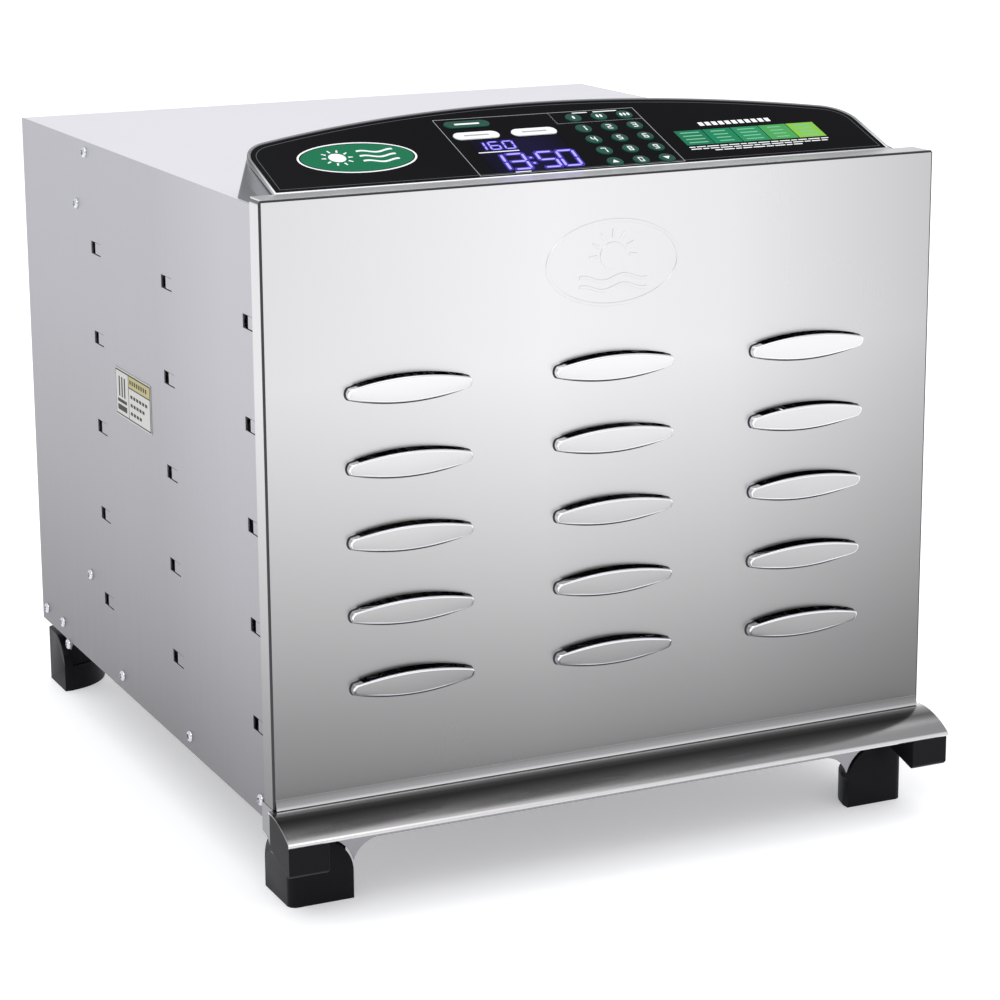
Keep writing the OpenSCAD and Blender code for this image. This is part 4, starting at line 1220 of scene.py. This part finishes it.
def make_plate():
    """Foil notice: a sign of plain strokes beside rows of plain bars."""
    low, high = node_box("caution_plate")
    wide, tall = high.y - low.y, high.z - low.z
    plate = Shape()
    plate.box(low, high)

    def patch(a, b, c, d, kind=1, rise=0.1):
        plate.box((low.x - rise, high.y - c, low.z + b), (low.x, high.y - a, low.z + d), kind)

    patch(0.8, 0.8, wide - 0.8, tall - 0.8, 1, 0.05)
    patch(1.7, 1.7, 26.0, tall - 1.7, 0, 0.08)
    patch(27.0, 1.7, wide - 1.7, tall - 9.6, 0, 0.08)
    patch(27.0, tall - 8.8, wide - 1.7, tall - 1.7, 2, 0.08)
    for k in range(8):
        patch(29.0 + k * 4.4, tall - 6.6, 31.6 + k * 4.4, tall - 3.8)
    for row in range(3):
        for k in range(6 - row):
            patch(30.0 + k * 5.8, 15.5 - row * 5.4, 34.2 + k * 5.8, 17.6 - row * 5.4)
    for k in range(3):
        patch(7.0 + k * 5.2, 13.0, 9.4 + k * 5.2, 26.0)
    patch(4.5, 4.0, 22.5, 7.6)
    patch(4.5, 9.2, 22.5, 11.4)
    finishes = [FOIL, INK_DARK, INK_YELLOW]
    plate.piece("caution_foil", "case", finishes, "label_foil", ("caution_plate",), 30.0)


# ---------------- inside


def make_inside():
    """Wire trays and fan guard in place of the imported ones."""
    rule = tray_rule()
    rim = 2.4
    for i in range(1, 6):
        name = "tray_%d" % i
        low, high = node_box(name)
        size = high - low
        values = {"Width": (size.x - 2 * rim) * MM, "Depth": (size.y - 2 * rim) * MM}
        values.update({"Long": 34, "Cross": 5, "Wire": 1.0 * MM, "Rim": rim * MM})
        values.update({"Corner": 14.0 * MM, "Centre": (low + high) / 2 * MM})
        made = rule.make(name + "_wires", **values, Finish=WIRE_STEEL)
        dress(made, name, WIRE_STEEL, (name,), 50.0)
    low, high = node_box("fan_guard")
    centre = Vector((0.0, (low.y + high.y) / 2, (low.z + high.z) / 2)) * MM
    values = {"Rings": 8, "First": 10.0 * MM, "Step": 11.0 * MM, "Spokes": 4}
    values.update({"Reach": 88.0 * MM, "Wire": 1.15 * MM, "Centre": centre})
    made = guard_rule().make("fan_guard_wires", **values, Finish=WIRE_STEEL)
    dress(made, "case", WIRE_STEEL, ("fan_guard",), 50.0)


def repaint():
    """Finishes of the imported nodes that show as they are."""
    finishes = {
        "base_pan": STEEL_PAN, "side_panel_left": STEEL_SIDE, "side_panel_right": STEEL_SIDE,
        "top_cover": STEEL_ROOF, "rear_panel": STEEL_SIDE, "fan_bulkhead": STEEL_INNER,
        "foot_screws": SCREW_STEEL, "display_module": BOARD, "control_board": BOARD,
        "heating_element": HEATER, "motor_bracket": STEEL_INNER, "fan_motor": MOTOR,
        "fan_shaft": FAN_METAL, "fan_blade": FAN_METAL, "fan_nut": SCREW_STEEL,
        "temperature_probe": WIRE_STEEL, "thermal_cutout": BLACK, "power_inlet": BLACK,
        "wiring_harness": SLEEVE, "door_magnets": BLACK,
    }
    for name, finish in finishes.items():
        coat(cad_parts[name].data, finish)


# ---------------- studio, in metres


def softbox(name, position, size, power):
    """Area light that faces the middle of the object."""
    data = bpy.data.lights.new(name, "AREA")
    data.shape = "RECTANGLE"
    data.size, data.size_y = size
    data.energy = power
    made = linked(name, data)
    made.location = position
    way = Vector((0.0, 0.0, 0.22)) - Vector(position)
    made.rotation_euler = way.to_track_quat("-Z", "Y").to_euler()


def make_studio():
    """White ground that glows a little, an even sky and two softboxes."""
    r = 9.0 / MM
    ground = mesh_of("floor", [(-r, -r, 0), (r, -r, 0), (r, r, 0), (-r, r, 0)], [(0, 1, 2, 3)])
    constants = {"Roughness": 0.75, "Specular IOR Level": 0.2, "Emission Strength": 0.3}
    made = Finish("pale_floor", {**constants, "Emission Color": (1.0, 1.0, 1.0, 1.0)})
    pale = made.blend(made.noise(2.0, 2.0), shade((0.84, 0.84, 0.85)), shade((0.88, 0.88, 0.89)))
    made.set("Base Color", pale)
    coat(ground, made.material)
    linked("floor", ground)
    world = bpy.data.worlds.new("studio")
    world.use_nodes = True
    sky = world.node_tree.nodes["Background"].inputs
    sky["Color"].default_value = (0.97, 0.975, 1.0, 1.0)
    sky["Strength"].default_value = 1.0
    bpy.context.scene.world = world
    bpy.context.scene.view_settings.view_transform = "Standard"
    softbox("key_light", (-1.2, -1.6, 2.2), (1.8, 1.4), 18.0)
    softbox("top_light", (0.3, 0.5, 2.6), (2.4, 2.4), 20.0)


def make_camera():
    """Camera from the left, a little above, with a slight roll."""
    data = bpy.data.cameras.new("camera")
    data.sensor_width = 36.0
    data.lens = 102.6
    data.shift_x = 0.058
    data.shift_y = -0.065
    data.clip_start = 0.05
    data.clip_end = 60.0
    turn, look, roll = (math.radians(angle) for angle in (-24.15, 13.29, -0.60))
    upward = Vector((0.0, 0.0, 1.0))
    right = Vector((math.cos(turn), math.sin(turn), 0.0))
    level = Vector((-math.sin(turn), math.cos(turn), 0.0))
    ahead = level * math.cos(look) - upward * math.sin(look)
    above = upward * math.cos(look) + level * math.sin(look)
    side = right * math.cos(roll) + above * math.sin(roll)
    up = above * math.cos(roll) - right * math.sin(roll)
    basis = Matrix((side, up, -ahead)).transposed().to_4x4()
    made = linked("camera", data)
    made.matrix_world = Matrix.Translation(Vector((-0.7544, -1.6631, 0.6432))) @ basis
    bpy.context.scene.camera = made


make_camera()
make_studio()
repaint()
make_door()
make_ledge()
make_feet()
make_screws()
make_housing()
make_trim()
make_fascia()
make_display()
make_keys()
make_plate()
make_inside()
